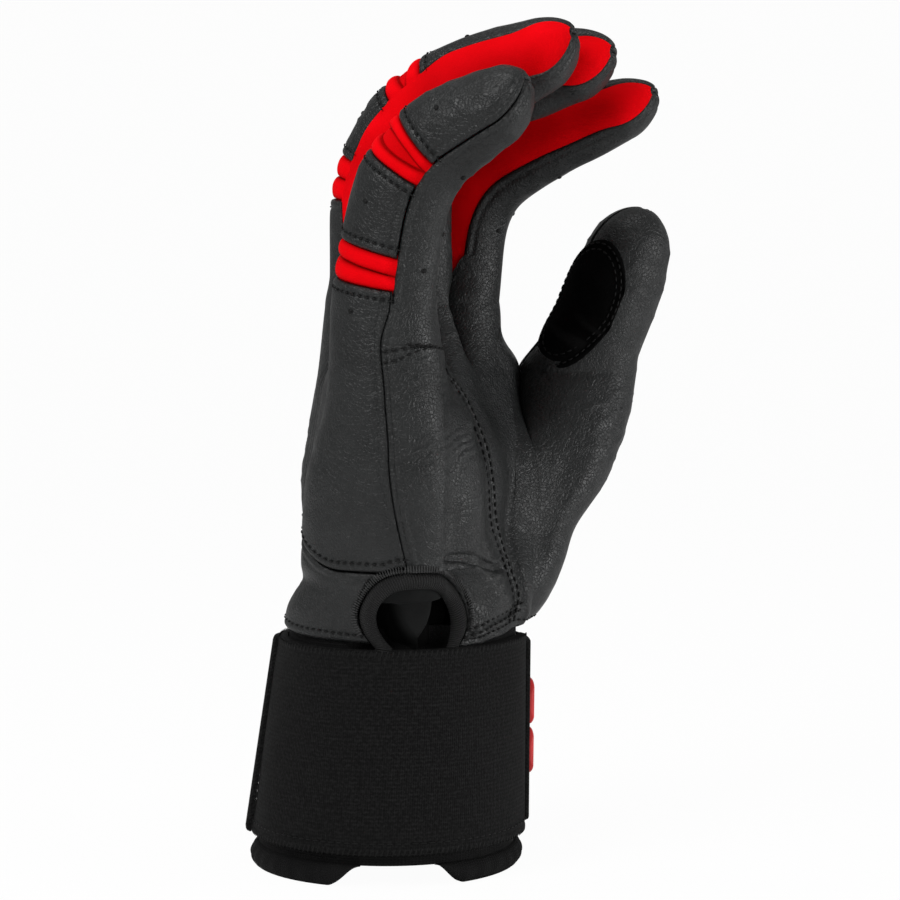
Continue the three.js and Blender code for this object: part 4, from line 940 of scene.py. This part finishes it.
def hide_ripple(points):
    """Loose skin over stuffing: broad swells and a few fine folds."""
    broad = noise_field(points, (17, 17, 24), 1)
    fold = 1 - 2 * np.abs(noise_field(points, (9, 9, 5.5), 2))
    return 0.55 * broad + 0.34 * fold ** 3 * smooth(noise_field(points, (30, 30, 30), 3), -0.1, 0.4)


def turned_edge(distance):
    """How far a turned edge drops into its seam."""
    t = np.clip(distance / 1.25, 0, 1)
    groove = 0.32 * np.exp(-((distance - SEAM_ROW) / 0.6) ** 2)
    return 0.95 * (1 - np.sqrt(1 - (1 - t) ** 2)) + groove


def thread_path(place, c, r):
    """A path for stitches: points just over a piece and points a millimetre above them."""
    return place(c, r, -THREAD_LIFT), place(c, r, -THREAD_LIFT - 1)


class Cut:
    """One cut piece of cloth or leather on the form: its mesh, and rows on it for stitches."""

    def __init__(self, name, place, columns, rows, sewn, material, ripple=hide_ripple, thickness=LEATHER):
        self.place, self.columns, self.rows = place, columns, rows
        c, r = grid(columns, rows)
        flat = place(c, r, 0.0)
        across, along = lengths(flat, 0), lengths(flat, 1)
        self.to = {"left": across, "right": across[-1:] - across, "low": along, "high": along[:, -1:] - along}
        edges = [self.to[side] for side in sewn]
        nearest = np.minimum.reduce(edges)
        fold = ripple(flat) * smooth(nearest, 1.5, 6.0)
        # The rim field, nearness to a sewn edge, carries painted shade along the seams into the leather's colour; the
        # fold field, the ripple's height, carries a painted highlight on its crests.
        self.obj = shell(name, place(c, r, sum(map(turned_edge, edges)) - fold), place(c, r, thickness), material,
                         {"fold": fold, "rim": np.exp(-nearest / 1.2)})

    def row(self, side, distance, low=0.0, high=1.0):
        """A path on the piece at a distance from one side."""
        upright = side in BOTH_SIDES
        gauge, places = (self.to[side], self.columns) if upright else (self.to[side].T, self.rows)
        if side in ("right", "high"):
            gauge, places = gauge[::-1], places[::-1]
        found = np.array([np.interp(distance, line, places) for line in gauge.T])
        part = slice(int(low * (len(found) - 1)), int(high * (len(found) - 1)) + 1)
        c, r = (found, self.rows) if upright else (self.columns, found)
        return thread_path(self.place, c[part], r[part])

    def spot(self, across, along):
        """A path too short for more than one stitch, sunk in the piece: a black bead that stands in as painted shade
        for a vent hole.
        """
        c = lerp(self.columns[0], self.columns[-1], across + np.array((-0.001, 0.001)))
        r = lerp(self.rows[0], self.rows[-1], along) + 0 * c
        fold = hide_ripple(self.place(c, r, 0.0))
        return self.place(c, r, 0.35 - fold), self.place(c, r, -0.65 - fold)


def leather_finish():
    """Goatskin: a fine pebble grain of short wavy lines, with painted highlights on the crests of its folds and painted
    shade in the grain's grooves and along the sewn edges.
    """
    dark, light = np.array((0.0044, 0.0051, 0.0052)), np.array((0.0096, 0.0108, 0.0109))
    hide = Finish("charcoal_goatskin", light, 0.44, specular=0.42)
    here = hide.coords.outputs["Object"]
    bend = hide.add("VectorMath", operation="MULTIPLY_ADD")
    for target, value in zip(bend.inputs, (hide.texture("Noise", 330, here).outputs["Color"], (0.0022,) * 3, here)):
        hide.put(target, value)
    pebble = hide.texture("Voronoi", 950, bend.outputs[0], feature="DISTANCE_TO_EDGE")
    cell = hide.span(pebble.outputs["Distance"], 0.0, 0.16, 0.0, 1.0)
    hide.relief(hide.noise(240, 5), 0.55, 0.7)
    hide.relief(cell, 0.1, 0.8)
    hide.relief(hide.noise(1500), 0.15, 0.7)
    tone = hide.tint(hide.span(hide.noise(75, 5), 0.32, 0.68, 0, 1), dark, light)
    # Painted highlight: the colour is lightened on the crests of the skin's folds and swells.
    for share, colour in ((hide.span(hide.field("fold"), 0.1, 0.7, 0.0, 0.35), 1.6 * light),
                          # Painted shade: the colour is darkened in the grooves between the pebbles of the grain.
                          (hide.span(cell, 0, 1, 0.35, 0.0), 0.55 * dark),
                          # Painted shade: the colour is darkened along the sewn edges, where the leather turns down
                          # into its seam groove.
                          (hide.span(hide.field("rim"), 0.2, 1.0, 0.0, 0.6), 0.5 * dark)):
        tone = hide.tint(share, tone, colour)
    hide.colour(tone)
    hide.roughness(hide.span(hide.noise(190), 0.3, 0.7, 0.37, 0.54))
    return hide.material


charcoal_leather = leather_finish()


def leather(name, place, columns, rows, sewn, body, node, ripple=hide_ripple):
    """A piece of leather that is sewn on the named sides and rides on one body."""
    cut = Cut(name, place, columns, rows, sewn, charcoal_leather, ripple)
    worn_by(cut.obj, body, node)
    return cut


def panel(name, q_from, q_to, bottom, sewn, steps, node, extra=()):
    """A panel of the hand between two lines round it."""
    columns = np.concatenate([dense_ends(q_from, q_to, steps[0]), extra])
    columns = np.unique(np.round(columns[(columns >= q_from) & (columns <= q_to)], 6))
    return leather(name, sheet(bottom), columns, dense_ends(0, 3, steps[1]), sewn, "hand", node)


def thumb_level(q, level, inset):
    return hand(q, lerp(leather_bottom(q), THUMB_LAP_Z, level), inset)


def wrist_level(q, share, inset):
    z = lerp(leather_bottom(q), wrist_top(q), share)
    return hand(laid(q, z), z, inset)


vent_columns = beside_vent(VENT_WIDTH / 2 * squared(np.sin(np.radians(np.linspace(-90, 90, 81)))))
back_bottom = lambda q: wrist_top(q) + GAP
back_ulnar = panel("back_little_finger_side", 3.5 + seam_half_q, SEAM_Q - 3 * seam_half_q, back_bottom,
                   ALL_ROUND, (90, 170), "back_ulnar_panel")
back_center = panel("back_center", 1.5 + seam_half_q, 3.5 - seam_half_q, back_bottom,
                    ALL_ROUND, (110, 160), "back_center_panel")
back_index = panel("back_index_side", 0.5 + web_half_q, 1.5 - seam_half_q, back_bottom,
                   ALL_ROUND, (80, 160), "back_index_panel")
palm = panel("palm", SEAM_Q - 5 * seam_half_q, 8.5 - web_half_q, leather_bottom,
             ("left", "low"), (190, 160), "palm_panel", vent_columns)
thumb_front, thumb_rear = (8.5 + web_half_q, 9.5 - seam_half_q), (-0.5 + seam_half_q, 0.5 - web_half_q)
thumb_base_front = leather("thumb_base_front", thumb_level, dense_ends(*thumb_front, 60), dense_ends(0, 1, 110),
                           ("right", "low"), "hand", "thumb_base_palm")
thumb_base_rear = leather("thumb_base_rear", thumb_level, dense_ends(*thumb_rear, 60), dense_ends(0, 1, 110),
                          ("left", "low"), "hand", "thumb_base_back")
wrist_columns = np.concatenate([dense_ends(0.5 + web_half_q, SEAM_Q - seam_half_q, 150),
                                vent_columns[vent_columns < SEAM_Q - seam_half_q]])
wrist_back = leather("wrist_back", wrist_level, np.unique(np.round(wrist_columns, 6)), dense_ends(0, 1, 36),
                     ALL_ROUND, "hand", "wrist_back_panel")

hand_rows = [cut.row(*row) for cut, *row in (
    (back_ulnar, "low", SEAM_ROW), (back_ulnar, "high", SEAM_ROW), (back_center, "low", SEAM_ROW),
    (back_center, "high", SEAM_ROW, 0, 0.26), (back_center, "high", SEAM_ROW, 0.5, 0.75),
    (back_index, "low", SEAM_ROW), (palm, "low", FOOT_ROW, 0.3), (thumb_base_front, "right", SEAM_ROW),
    (thumb_base_rear, "low", FOOT_ROW), (thumb_base_front, "low", FOOT_ROW), (wrist_back, "low", FOOT_ROW, 0, 0.84))]
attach(sew("hand_stitches", hand_rows, *LEATHER_STITCH), "hand")
hand_holes = [back_ulnar.spot(0.74, 0.667), back_center.spot(0.2, 0.63), back_center.spot(0.75, 0.63)]
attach(sew("hand_holes", hand_holes, *HOLE), "hand")

# Wrist vent: a horseshoe cut out of the leather under the little finger so that the wrist can bend. A
# ribbed elastic tape binds its edge, overlock stitches hold the leather to it, and dark cloth hangs behind.
BINDING, BINDING_PROUD, GUSSET_THICKNESS = 4.4, 1.5, 1.0
GUSSET_FOLD_Z, GUSSET_DEPTH = 77.8, 4
VENT_STITCH, VENT_ROW = (0.72, 2.3, 0.2), -1.2


def arch_place(angle, width, inset):
    """Points of the vent's horseshoe, so far in from the leather's cut edge."""
    a = np.radians(angle)
    z = WRIST_Z - 3 + squared(np.sin(a)) * (vent_top - width - WRIST_Z + 3)
    q = beside_vent(-squared(np.cos(a)) * (VENT_WIDTH / 2 - width))
    return hand(laid(q, z), z, inset)


def ribbed_finish():
    """Soft black binding tape with a close rib across it."""
    tape = Finish("black_ribbed_tape", 0.006, 0.7, specular=0.3)
    rib = tape.stripes(0, 0.68)
    tape.relief(rib, 0.3, 0.9)
    tape.relief(tape.noise(700, 2), 0.12, 0.5)
    # Painted shade and highlight: the colour follows the rib, darker in its grooves and lighter on its crests.
    tape.colour(tape.tint(rib, 0.001, 0.008))
    return tape.material


def gusset_finish():
    """Thin black cloth, nearly without shine, painted near black as shade in its recesses."""
    cloth = Finish("dark_gusset_cloth", 0.004, 0.9, specular=0.12)
    cloth.relief(cloth.noise(700), 0.15, 0.5)
    tone = cloth.mottle(110, 3, (0.007, 0.0072, 0.0072), (0.012, 0.0125, 0.0125))
    # Painted shade: the cloth goes near black where the deep field is high, in the recesses beside the stem under the
    # fold.
    cloth.colour(cloth.tint(cloth.field("deep"), tone, 0.0004))
    return cloth.material


arch_angle, tape_share = grid(np.linspace(0, 180, 180), np.linspace(0, 1, 22))
tape_rise = BINDING_PROUD * np.sin(math.pi * tape_share) ** 0.6
tape_width = lerp(-0.1, BINDING, tape_share)
worn_by(shell("vent_edge_tape", arch_place(arch_angle, tape_width, 0.9 - tape_rise),
              arch_place(arch_angle, tape_width, LEATHER + 0.4), ribbed_finish()), "hand", "vent_binding")
gusset_mm, gusset_z = grid(np.linspace(-18, 18, 90), np.linspace(WRIST_Z - 2, vent_top - 0.5, 90))
under_fold = smooth(GUSSET_FOLD_Z + 0.04 * gusset_mm - gusset_z, 0, 0.8)
from_stem = np.abs(gusset_mm - 0.12 * (gusset_z - 70))
stem = smooth(from_stem, 2.5 + 0.25 * (gusset_z - 66), 7.5 + 0.25 * (gusset_z - 66))
gusset_inset = LEATHER + GAP + 0.5 + under_fold * (1.6 + GUSSET_DEPTH * stem)


def gusset_place(inset):
    return hand(laid(beside_vent(gusset_mm), gusset_z), gusset_z, inset)


gusset_inset = gusset_inset + 0.35 * noise_field(gusset_place(0.0), (4, 4, 9), 4)
worn_by(shell("vent_gusset_cloth", gusset_place(gusset_inset), gusset_place(gusset_inset + GUSSET_THICKNESS),
              gusset_finish(), {"deep": under_fold * stem}), "hand", "vent_gusset")


def arch_row(lift, angles):
    return arch_place(angles, VENT_ROW, -lift), arch_place(angles, VENT_ROW, -lift - 1)


# The overlock is the same black thread, given a lighter colour and more shine as a painted highlight on its loops.
vent_thread = Finish("vent_thread", 0.022, 0.5, specular=0.4)
vent_rows = [arch_row(0, np.linspace(9, 82, 100)), arch_row(0.55, np.linspace(84, 171, 120))]
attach(sew("vent_overlock", vent_rows, *VENT_STITCH, slant=90, thread=vent_thread.material), "hand")

# Heel pad: a crowned overlay of the same leather on the outer edge of the palm, over a slab of foam,
# sewn down with two rows. It creases across where the hand closes on the bat.
PAD_CROWN, PAD_LOW, PAD_HIGH, PAD_INSET, PAD_SHOULDER, PAD_CLEAR, PAD_SLOPE = 3.4, 68, 146.5, 0.25, 10, 0.35, 5
FOAM_INSET, PAD_STITCH = 6.5, (2.2, 1.6, 0.36)
pad_right = through([(PAD_LOW, 7.3), (76, 7.8), (82, 7.7), (90, 7.3), (97, 7.05), (108, 6.92), (118, 6.9), (129, 6.7),
                     (134, 6.4), (138, 6), (142, 5.45), (PAD_HIGH, 4.98)])
seam_length = through([(z, round_length(SEAM_Q, z)) for z in range(65, 150, 7)])
palm_length = through([(z, round_length(6, z)) for z in range(65, 150, 7)])


def pad_left(z):
    """The pad's edge along the vent, and above it along the outer seam."""
    rise = (z - WRIST_Z) / (VENT_HEIGHT + 2 * PAD_INSET)
    reach = (VENT_WIDTH / 2 + PAD_INSET) * arch_share(rise)
    return np.where(rise < 1, beside_vent(reach), SEAM_Q + 2 * PAD_INSET / seam_length(z))


def pad_place(inset):
    """Places on the pad from shares across and up it, with a margin left all round."""
    def place(share, rise, below):
        z = lerp(PAD_LOW + PAD_SLOPE * (share - 0.5) + inset, PAD_HIGH - 2 * inset, rise)
        left, right = pad_left(z), pad_right(z)
        width = np.maximum((right - left) * palm_length(z), 1)
        margin = np.minimum(inset / width, 0.45)
        across = lerp(margin, 1 - margin, share)
        to_side = np.minimum(across, 1 - across) * width
        to_end = np.minimum(z - PAD_LOW - PAD_SLOPE * (share - 0.5), PAD_HIGH - z)
        crown = PAD_CROWN * smooth(np.minimum(to_side, to_end), 2.5, PAD_SHOULDER)
        base = lerp(0.25, PAD_CLEAR + LEATHER, smooth(across * width, 0, 5))
        q = lerp(left, right, across)
        return hand(laid(q, z), z, below - base - crown)
    return place


def pad_ripple(points):
    """Fine wrinkles across the pad and one deep crease near its foot, over the skin's own swells."""
    height = points[..., 2]
    swing = noise_field(points, (9, 9, 9), 5) * 3.5
    bands = np.sin((height + swing - 0.3 * points[..., 1]) / 0.46)
    creased = smooth(noise_field(points, (16, 16, 10), 6), -0.35, 0.3)
    foot = np.exp(-((height - 88 + 0.22 * (points[..., 1] + 20) + 0.5 * swing) / 1.2) ** 2)
    foot = foot * smooth(points[..., 1], -30, -22) * (1 - smooth(points[..., 1], -4, 3))
    return (0.13 * bands * creased + 0.5 * noise_field(points, (11, 11, 7), 7) - 2.2 * foot
            + 0.5 * hide_ripple(points))


pad = leather("heel_overlay", pad_place(0), dense_ends(0, 1, 150), dense_ends(0, 1, 240), ALL_ROUND, "hand", "heel_pad",
              ripple=pad_ripple)
foam_share, foam_rise = grid(np.linspace(0, 1, 40), np.linspace(0, 1, 50))
pad_foam = Finish("grey_foam", (0.09, 0.095, 0.10), 0.95)
pad_foam.relief(pad_foam.noise(1800), 0.2, 0.8)
foam_place = pad_place(FOAM_INSET)
foam_slab = shell("heel_foam_slab", foam_place(foam_share, foam_rise, LEATHER + 0.8),
                  foam_place(foam_share, foam_rise, LEATHER + 2.4), pad_foam.material)
worn_by(foam_slab, "hand", "heel_foam")
pad_rows = [pad.row(side, distance) for side, distance in (
    ("right", 1.5), ("right", 4.1), ("high", 1.8), ("high", 4.6), ("low", 1.6), ("low", 3.8))]
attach(sew("heel_overlay_stitches", pad_rows, *PAD_STITCH), "hand")

# Fingers: on the back two leather pieces with two stretch inserts between them, red rolls of cloth over
# the knuckles; red stretch side walls between the fingers; and the palm's leather up the front.
LYCRA, LYCRA_SUNK, WALL_SUNK = 1.0, 0.3, 0.55
ROLL_HEIGHT, ROLL_VALLEY = 1.5, (0.12, 1.9)
BEND_HALF, EDGE_CLEAR, INSERT_CLEAR, WALL_TUCK = 5, 0.6, 0.1, 3
FINGER_STITCH = (2.2, 1.6, 0.24)


def stretch_finish():
    """Red stretch cloth: a fine knit with a soft sheen, painted a deeper red as shade in the valleys and hollows of its
    folds.
    """
    knit = Finish("red_stretch_cloth", (0.80, 0.001, 0.004), 0.8, specular=0.03)
    knit.relief(knit.math("MULTIPLY", knit.stripes(0, 0.55), knit.stripes(1, 0.5)), 0.07, 0.5)
    knit.relief(knit.noise(160), 0.25, 0.35)
    tone = knit.mottle(95, 3, (0.76, 0.0005, 0.003), (0.88, 0.0008, 0.005))
    # Painted shade: deeper red where the fold field is low, in the valley between the rolls, at their feet and in the
    # hollows of the walls' swells.
    deep = knit.span(knit.field("fold"), -0.9, 0.2, 1.0, 0.0)
    knit.colour(knit.tint(deep, tone, (0.34, 0.0003, 0.001)))
    return knit.material


red_stretch = stretch_finish()


def bend_at(obj, finger, k, node=None):
    """The piece at a finger's lower (0) or upper (1) bend is baked in place, and the solid it stands for, if named, is
    hidden.
    """
    bodies = ("hand", finger.name + "_middle", finger.name + "_end")
    bend = finger.centre(hinge_of(finger, k) + np.array((-BEND_HALF, BEND_HALF))) * MM
    bent(obj, bodies[k], bodies[k + 1], bend, node)


def on_finger(finger, s, around, inset):
    """A place on a finger. The little finger, whose seams lie low, keeps the hand's broader form at its foot."""
    if finger is not pinky:
        return finger.point(s, around, inset)
    side = np.sin(np.radians(around)) / 2
    q = np.where(around < 0, 4 + side, np.where(around > 180, 5 - side, 4 + around / 180))
    return hand(q, FINGER_CROTCH_Z + s, inset)


def rolls(s, low, high, gap):
    """Two soft rolls side by side over a knuckle and the valley between them, 0 to 1."""
    radius = ((high - low) / 2 - gap) / 2
    from_roll = np.abs(np.abs(s - (low + high) / 2) - gap - radius)
    return np.clip(1 - (from_roll / radius) ** 2, 0, 1) ** 0.42


def insert_piece(finger, i, k, name):
    """A stretch insert over a knuckle, gathered in two rolls."""
    low, high = finger.inserts[k]
    around, s = grid(np.linspace(outer_back[i] - 1, inner_back[i] + 1, 110), np.linspace(low - 1, high + 1, 90))
    share = np.clip((around - outer_back[i]) / (inner_back[i] - outer_back[i]), 0, 1)
    lens = np.clip((share - 0.3) / 0.7, 0, 1) if finger is pinky else share
    gap = ROLL_VALLEY[k] * np.sin(math.pi * lens) ** 0.8 + 0.02
    along = slid(finger, s, around)
    pucker = 0.2 * noise_field(finger.point(along, around, 0.0), (3.5, 3.5, 3.5), 11 + k)
    ends = np.minimum(around - outer_back[i], inner_back[i] - around)
    crest = rolls(s, low, high, gap)
    valley = smooth(gap - np.abs(s - (low + high) / 2), 0, 0.7)
    fold = ROLL_HEIGHT * (0.5 + 0.5 * smooth(ends, -1, 14)) * np.maximum(crest, 0.2 * valley)
    outer = on_finger(finger, along, around, LEATHER + LYCRA_SUNK - fold - pucker)
    inner = on_finger(finger, along, around, LEATHER + LYCRA_SUNK + LYCRA)
    # The fold field is low in the valley between the rolls and at their feet, where the cloth's colour gets painted
    # shade.
    obj = shell(f"{finger.name}_{name}_rolls", outer, inner, red_stretch,
                {"fold": 1.6 * np.maximum(crest, 0.7 * valley) - 1.3})
    bend_at(obj, finger, k, f"{finger.name}_{name}")


def wall_spread(finger, s, ulnar):
    """What a red wall leaves of the back's and the front's half width: the wall on the little-finger
    side widens toward the tip, the other one closes."""
    upper = finger.inserts[1][1]
    tip = smooth(s, finger.length - 16, finger.length - 1)
    back = np.where(ulnar, 1 - 0.3 * smooth(s, upper - 6, upper + 10) - 0.35 * tip, 1 + 0.4 * tip)
    return back, np.where(ulnar, 1 - 0.2 * tip, 1 + 0.42 * tip)


def on_back(finger, around, s):
    """Angle at which the leather of the back lies, beside walls that widen or close."""
    walled = ((around < 0) & (finger is not index)) | ((around > 0) & (finger is not pinky))
    return np.where(walled, around * wall_spread(finger, s, around > 0)[0], around)


def on_front(finger, around, s):
    """Angle at which the leather of the front lies, beside walls that widen or close."""
    walled = ((around > 180) & (finger is not index)) | ((around < 180) & (finger is not pinky))
    return np.where(walled, 180 + (around - 180) * wall_spread(finger, s, around < 180)[1], around)


def middle_of(finger):
    return (hinge_of(finger, 0) + hinge_of(finger, 1)) / 2


def finger_cut(finger, name, side, a_from, a_to, s_from, s_to, sewn, steps):
    """Leather between two angles round a finger and two places along it."""
    place = lambda around, s, inset: on_finger(finger, slid(finger, s, around), side(finger, around, s), inset)
    columns = dense_ends(a_from + EDGE_CLEAR, a_to - EDGE_CLEAR, steps[0])
    return Cut(f"{finger.name}_{name}", place, columns, dense_ends(s_from, s_to, steps[1]), sewn, charcoal_leather)


def wall_foot(finger, around):
    """Where a side wall comes out from under the leather of the hand."""
    back = finger.inserts[0][0] * np.clip((90 - around) / (90 - BACK_EDGE), 0, 1) ** 2
    front = (hinge_of(finger, 0) - FRONT_LAP) * np.clip((around - 90) / (FRONT_EDGE - 90), 0, 1)
    return np.maximum(np.where(around < 90, back, front) - 1.5, 0.2)


def wall_piece(finger, facing, half):
    """Half of a red side wall: from the crotch to the middle of the finger, or from there to the tip."""
    ulnar = facing == "ulnar"
    around, t = grid(np.linspace(BACK_EDGE - WALL_TUCK, FRONT_EDGE + WALL_TUCK, 50), np.linspace(0, 1, 90))
    ends = ((wall_foot(finger, around), middle_of(finger)),
            (middle_of(finger), finger.length - (0.2 if ulnar else 1.2)))
    s = lerp(*ends[half], t)
    back, front = wall_spread(finger, s, ulnar)
    across = (around - BACK_EDGE + WALL_TUCK) / (FRONT_EDGE - BACK_EDGE + 2 * WALL_TUCK)
    around = lerp(BACK_EDGE * back - WALL_TUCK, 180 - (180 - FRONT_EDGE) * front + WALL_TUCK, across)
    around = around if ulnar else 360 - around
    swell = 0.35 * noise_field(finger.point(s, around, 0.0), (12, 12, 12), 21)
    # The swell goes into the fold field, so the wall's colour gets painted shade in its hollows.
    obj = shell(f"{finger.name}_{facing}_wall_{('low', 'high')[half]}", finger.point(s, around, WALL_SUNK - swell),
                finger.point(s, around, WALL_SUNK + LYCRA), red_stretch, {"fold": swell})
    bend_at(obj, finger, half, f"{finger.name}_{facing}_side")


for i, finger in enumerate(fingers):
    name, middle_s = finger.name, middle_of(finger)
    (_, low_to), (up_from, up_to) = finger.inserts
    back, front = (on_back, outer_back[i], inner_back[i]), (on_front, front_from[i], front_to[i])
    mid_back = finger_cut(finger, "back_middle", *back, low_to + INSERT_CLEAR, up_from - INSERT_CLEAR, ALL_ROUND,
                          (70, 60))
    worn_by(mid_back.obj, f"{name}_middle", f"{name}_mid_back")
    tip_back = finger_cut(finger, "back_tip", *back, up_to + INSERT_CLEAR, finger.length, (*BOTH_SIDES, "low"),
                          (70, 90))
    worn_by(tip_back.obj, f"{name}_end", f"{name}_tip_back")
    insert_piece(finger, i, 0, "lower_flex")
    insert_piece(finger, i, 1, "upper_flex")
    front_low = finger_cut(finger, "front_low", *front, hinge_of(finger, 0) - FRONT_LAP, middle_s, BOTH_SIDES, (60, 60))
    bend_at(front_low.obj, finger, 0, f"{name}_front_lower")
    front_high = finger_cut(finger, "front_high", *front, middle_s, finger.length, BOTH_SIDES, (60, 100))
    bend_at(front_high.obj, finger, 1, f"{name}_front_upper")
    for part, cut, ends, hole in (("middle", mid_back, ("low", "high"), (0.72 if finger is pinky else 0.6, 0.55)),
                                  ("end", tip_back, ("low",), (0.68 if finger is pinky else 0.6, 0.3))):
        rows = [cut.row(end, SEAM_ROW) for end in ends]
        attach(sew(f"{name}_{part}_stitches", rows, *FINGER_STITCH), f"{name}_{part}")
        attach(sew(f"{name}_{part}_holes", [cut.spot(*hole)], *HOLE), f"{name}_{part}")
    low_holes = [front_low.spot(0.3, 0.5), front_low.spot(0.58, 0.9)]
    bend_at(sew(f"{name}_front_low_holes", low_holes, *HOLE), finger, 0)
    bend_at(sew(f"{name}_front_high_holes", [front_high.spot(0.4, 0.42)], *HOLE), finger, 1)
    for facing, outermost in (("ulnar", pinky), ("radial", index)):
        if finger is not outermost:
            wall_piece(finger, facing, 0)
            wall_piece(finger, facing, 1)

# Thumb: a front and a back of leather that grow out of the hand, and a dark oval grip patch sewn on the
# side that faces the fingers, with two rows of stitches along its outer edge.
PATCH_FROM, PATCH_TO, PATCH_CENTRE, PATCH_HALF, PATCH_BLUNT, PATCH_THICKNESS = 72, 168, 18.6, 18.4, 0.95, 1.0
PATCH_STITCH, PATCH_ROWS, THUMB_BEND_Z, THUMB_BEND_END = (2.1, 1.6, 0.26), (0.93, 0.82), 131.0, 9.0
thumb_bend = (hand([9.0, 0.0], THUMB_BEND_Z, 0).mean(axis=0) * MM, thumb.centre(THUMB_BEND_END) * MM)
thumb_rows = np.concatenate([np.linspace(THUMB_LAP_Z, THUMB_CROTCH_Z, 14)[:-1],
                             THUMB_CROTCH_Z + dense_ends(0, THUMB_LENGTH, 90)])
for name, span, outer_side, node in (("thumb_leather_front", thumb_front, "right", "thumb_front"),
                                     ("thumb_leather_back", thumb_rear, "left", "thumb_back")):
    side = Cut(name, hand, dense_ends(*span, 70), thumb_rows, (outer_side,), charcoal_leather)
    bent(side.obj, "hand", "thumb", thumb_bend, node)


def suede_finish():
    """Dark brushed suede with a soft nap, its colour painted lighter on the crests of its folds as a highlight."""
    nap = Finish("dark_suede", 0.001, 1.0, specular=0.05)
    nap.relief(nap.noise(900, 4), 0.25, 0.6)
    # Painted highlight: lighter colour on the crests of the patch's folds.
    crest_highlight = nap.span(nap.field("fold"), 0.05, 0.4, 0.0, 0.6)
    nap.colour(nap.tint(crest_highlight, nap.mottle(120, 5, 0.0008, 0.0025), 0.012))
    return nap.material


def patch_place(across, share, inset):
    """Places on the oval patch, from shares of its half width and half height."""
    half = PATCH_HALF * np.sqrt(1 - (PATCH_BLUNT * across) ** 2)
    around = lerp(PATCH_FROM, PATCH_TO, (across + 1) / 2)
    return thumb.point(PATCH_CENTRE + share * half, around, inset - GAP - PATCH_THICKNESS)


def patch_ripple(points):
    slant = points @ np.array((0.6, 0.2, 0.8))
    return 0.35 * np.sin(slant / 1.3 + 3 * noise_field(points, (8, 8, 8), 31)) * smooth(-points[..., 2], -160, -140)


def patch_rim(margin):
    """A row of stitches round the patch, at a share of its size."""
    turn = np.linspace(0, 2 * math.pi, 160)
    across, share = margin * np.cos(turn), margin * np.sin(turn)
    return thread_path(patch_place, across, share / np.sqrt(1 - (PATCH_BLUNT * across) ** 2))


patch = Cut("thumb_grip_patch", patch_place, dense_ends(-1, 1, 70), dense_ends(-1, 1, 90), ALL_ROUND, suede_finish(),
            ripple=patch_ripple, thickness=PATCH_THICKNESS + 0.2)
bent(patch.obj, "hand", "thumb", thumb_bend, "thumb_patch")
bent(sew("thumb_patch_stitches", [patch_rim(row) for row in PATCH_ROWS], *PATCH_STITCH), "hand", "thumb", thumb_bend)
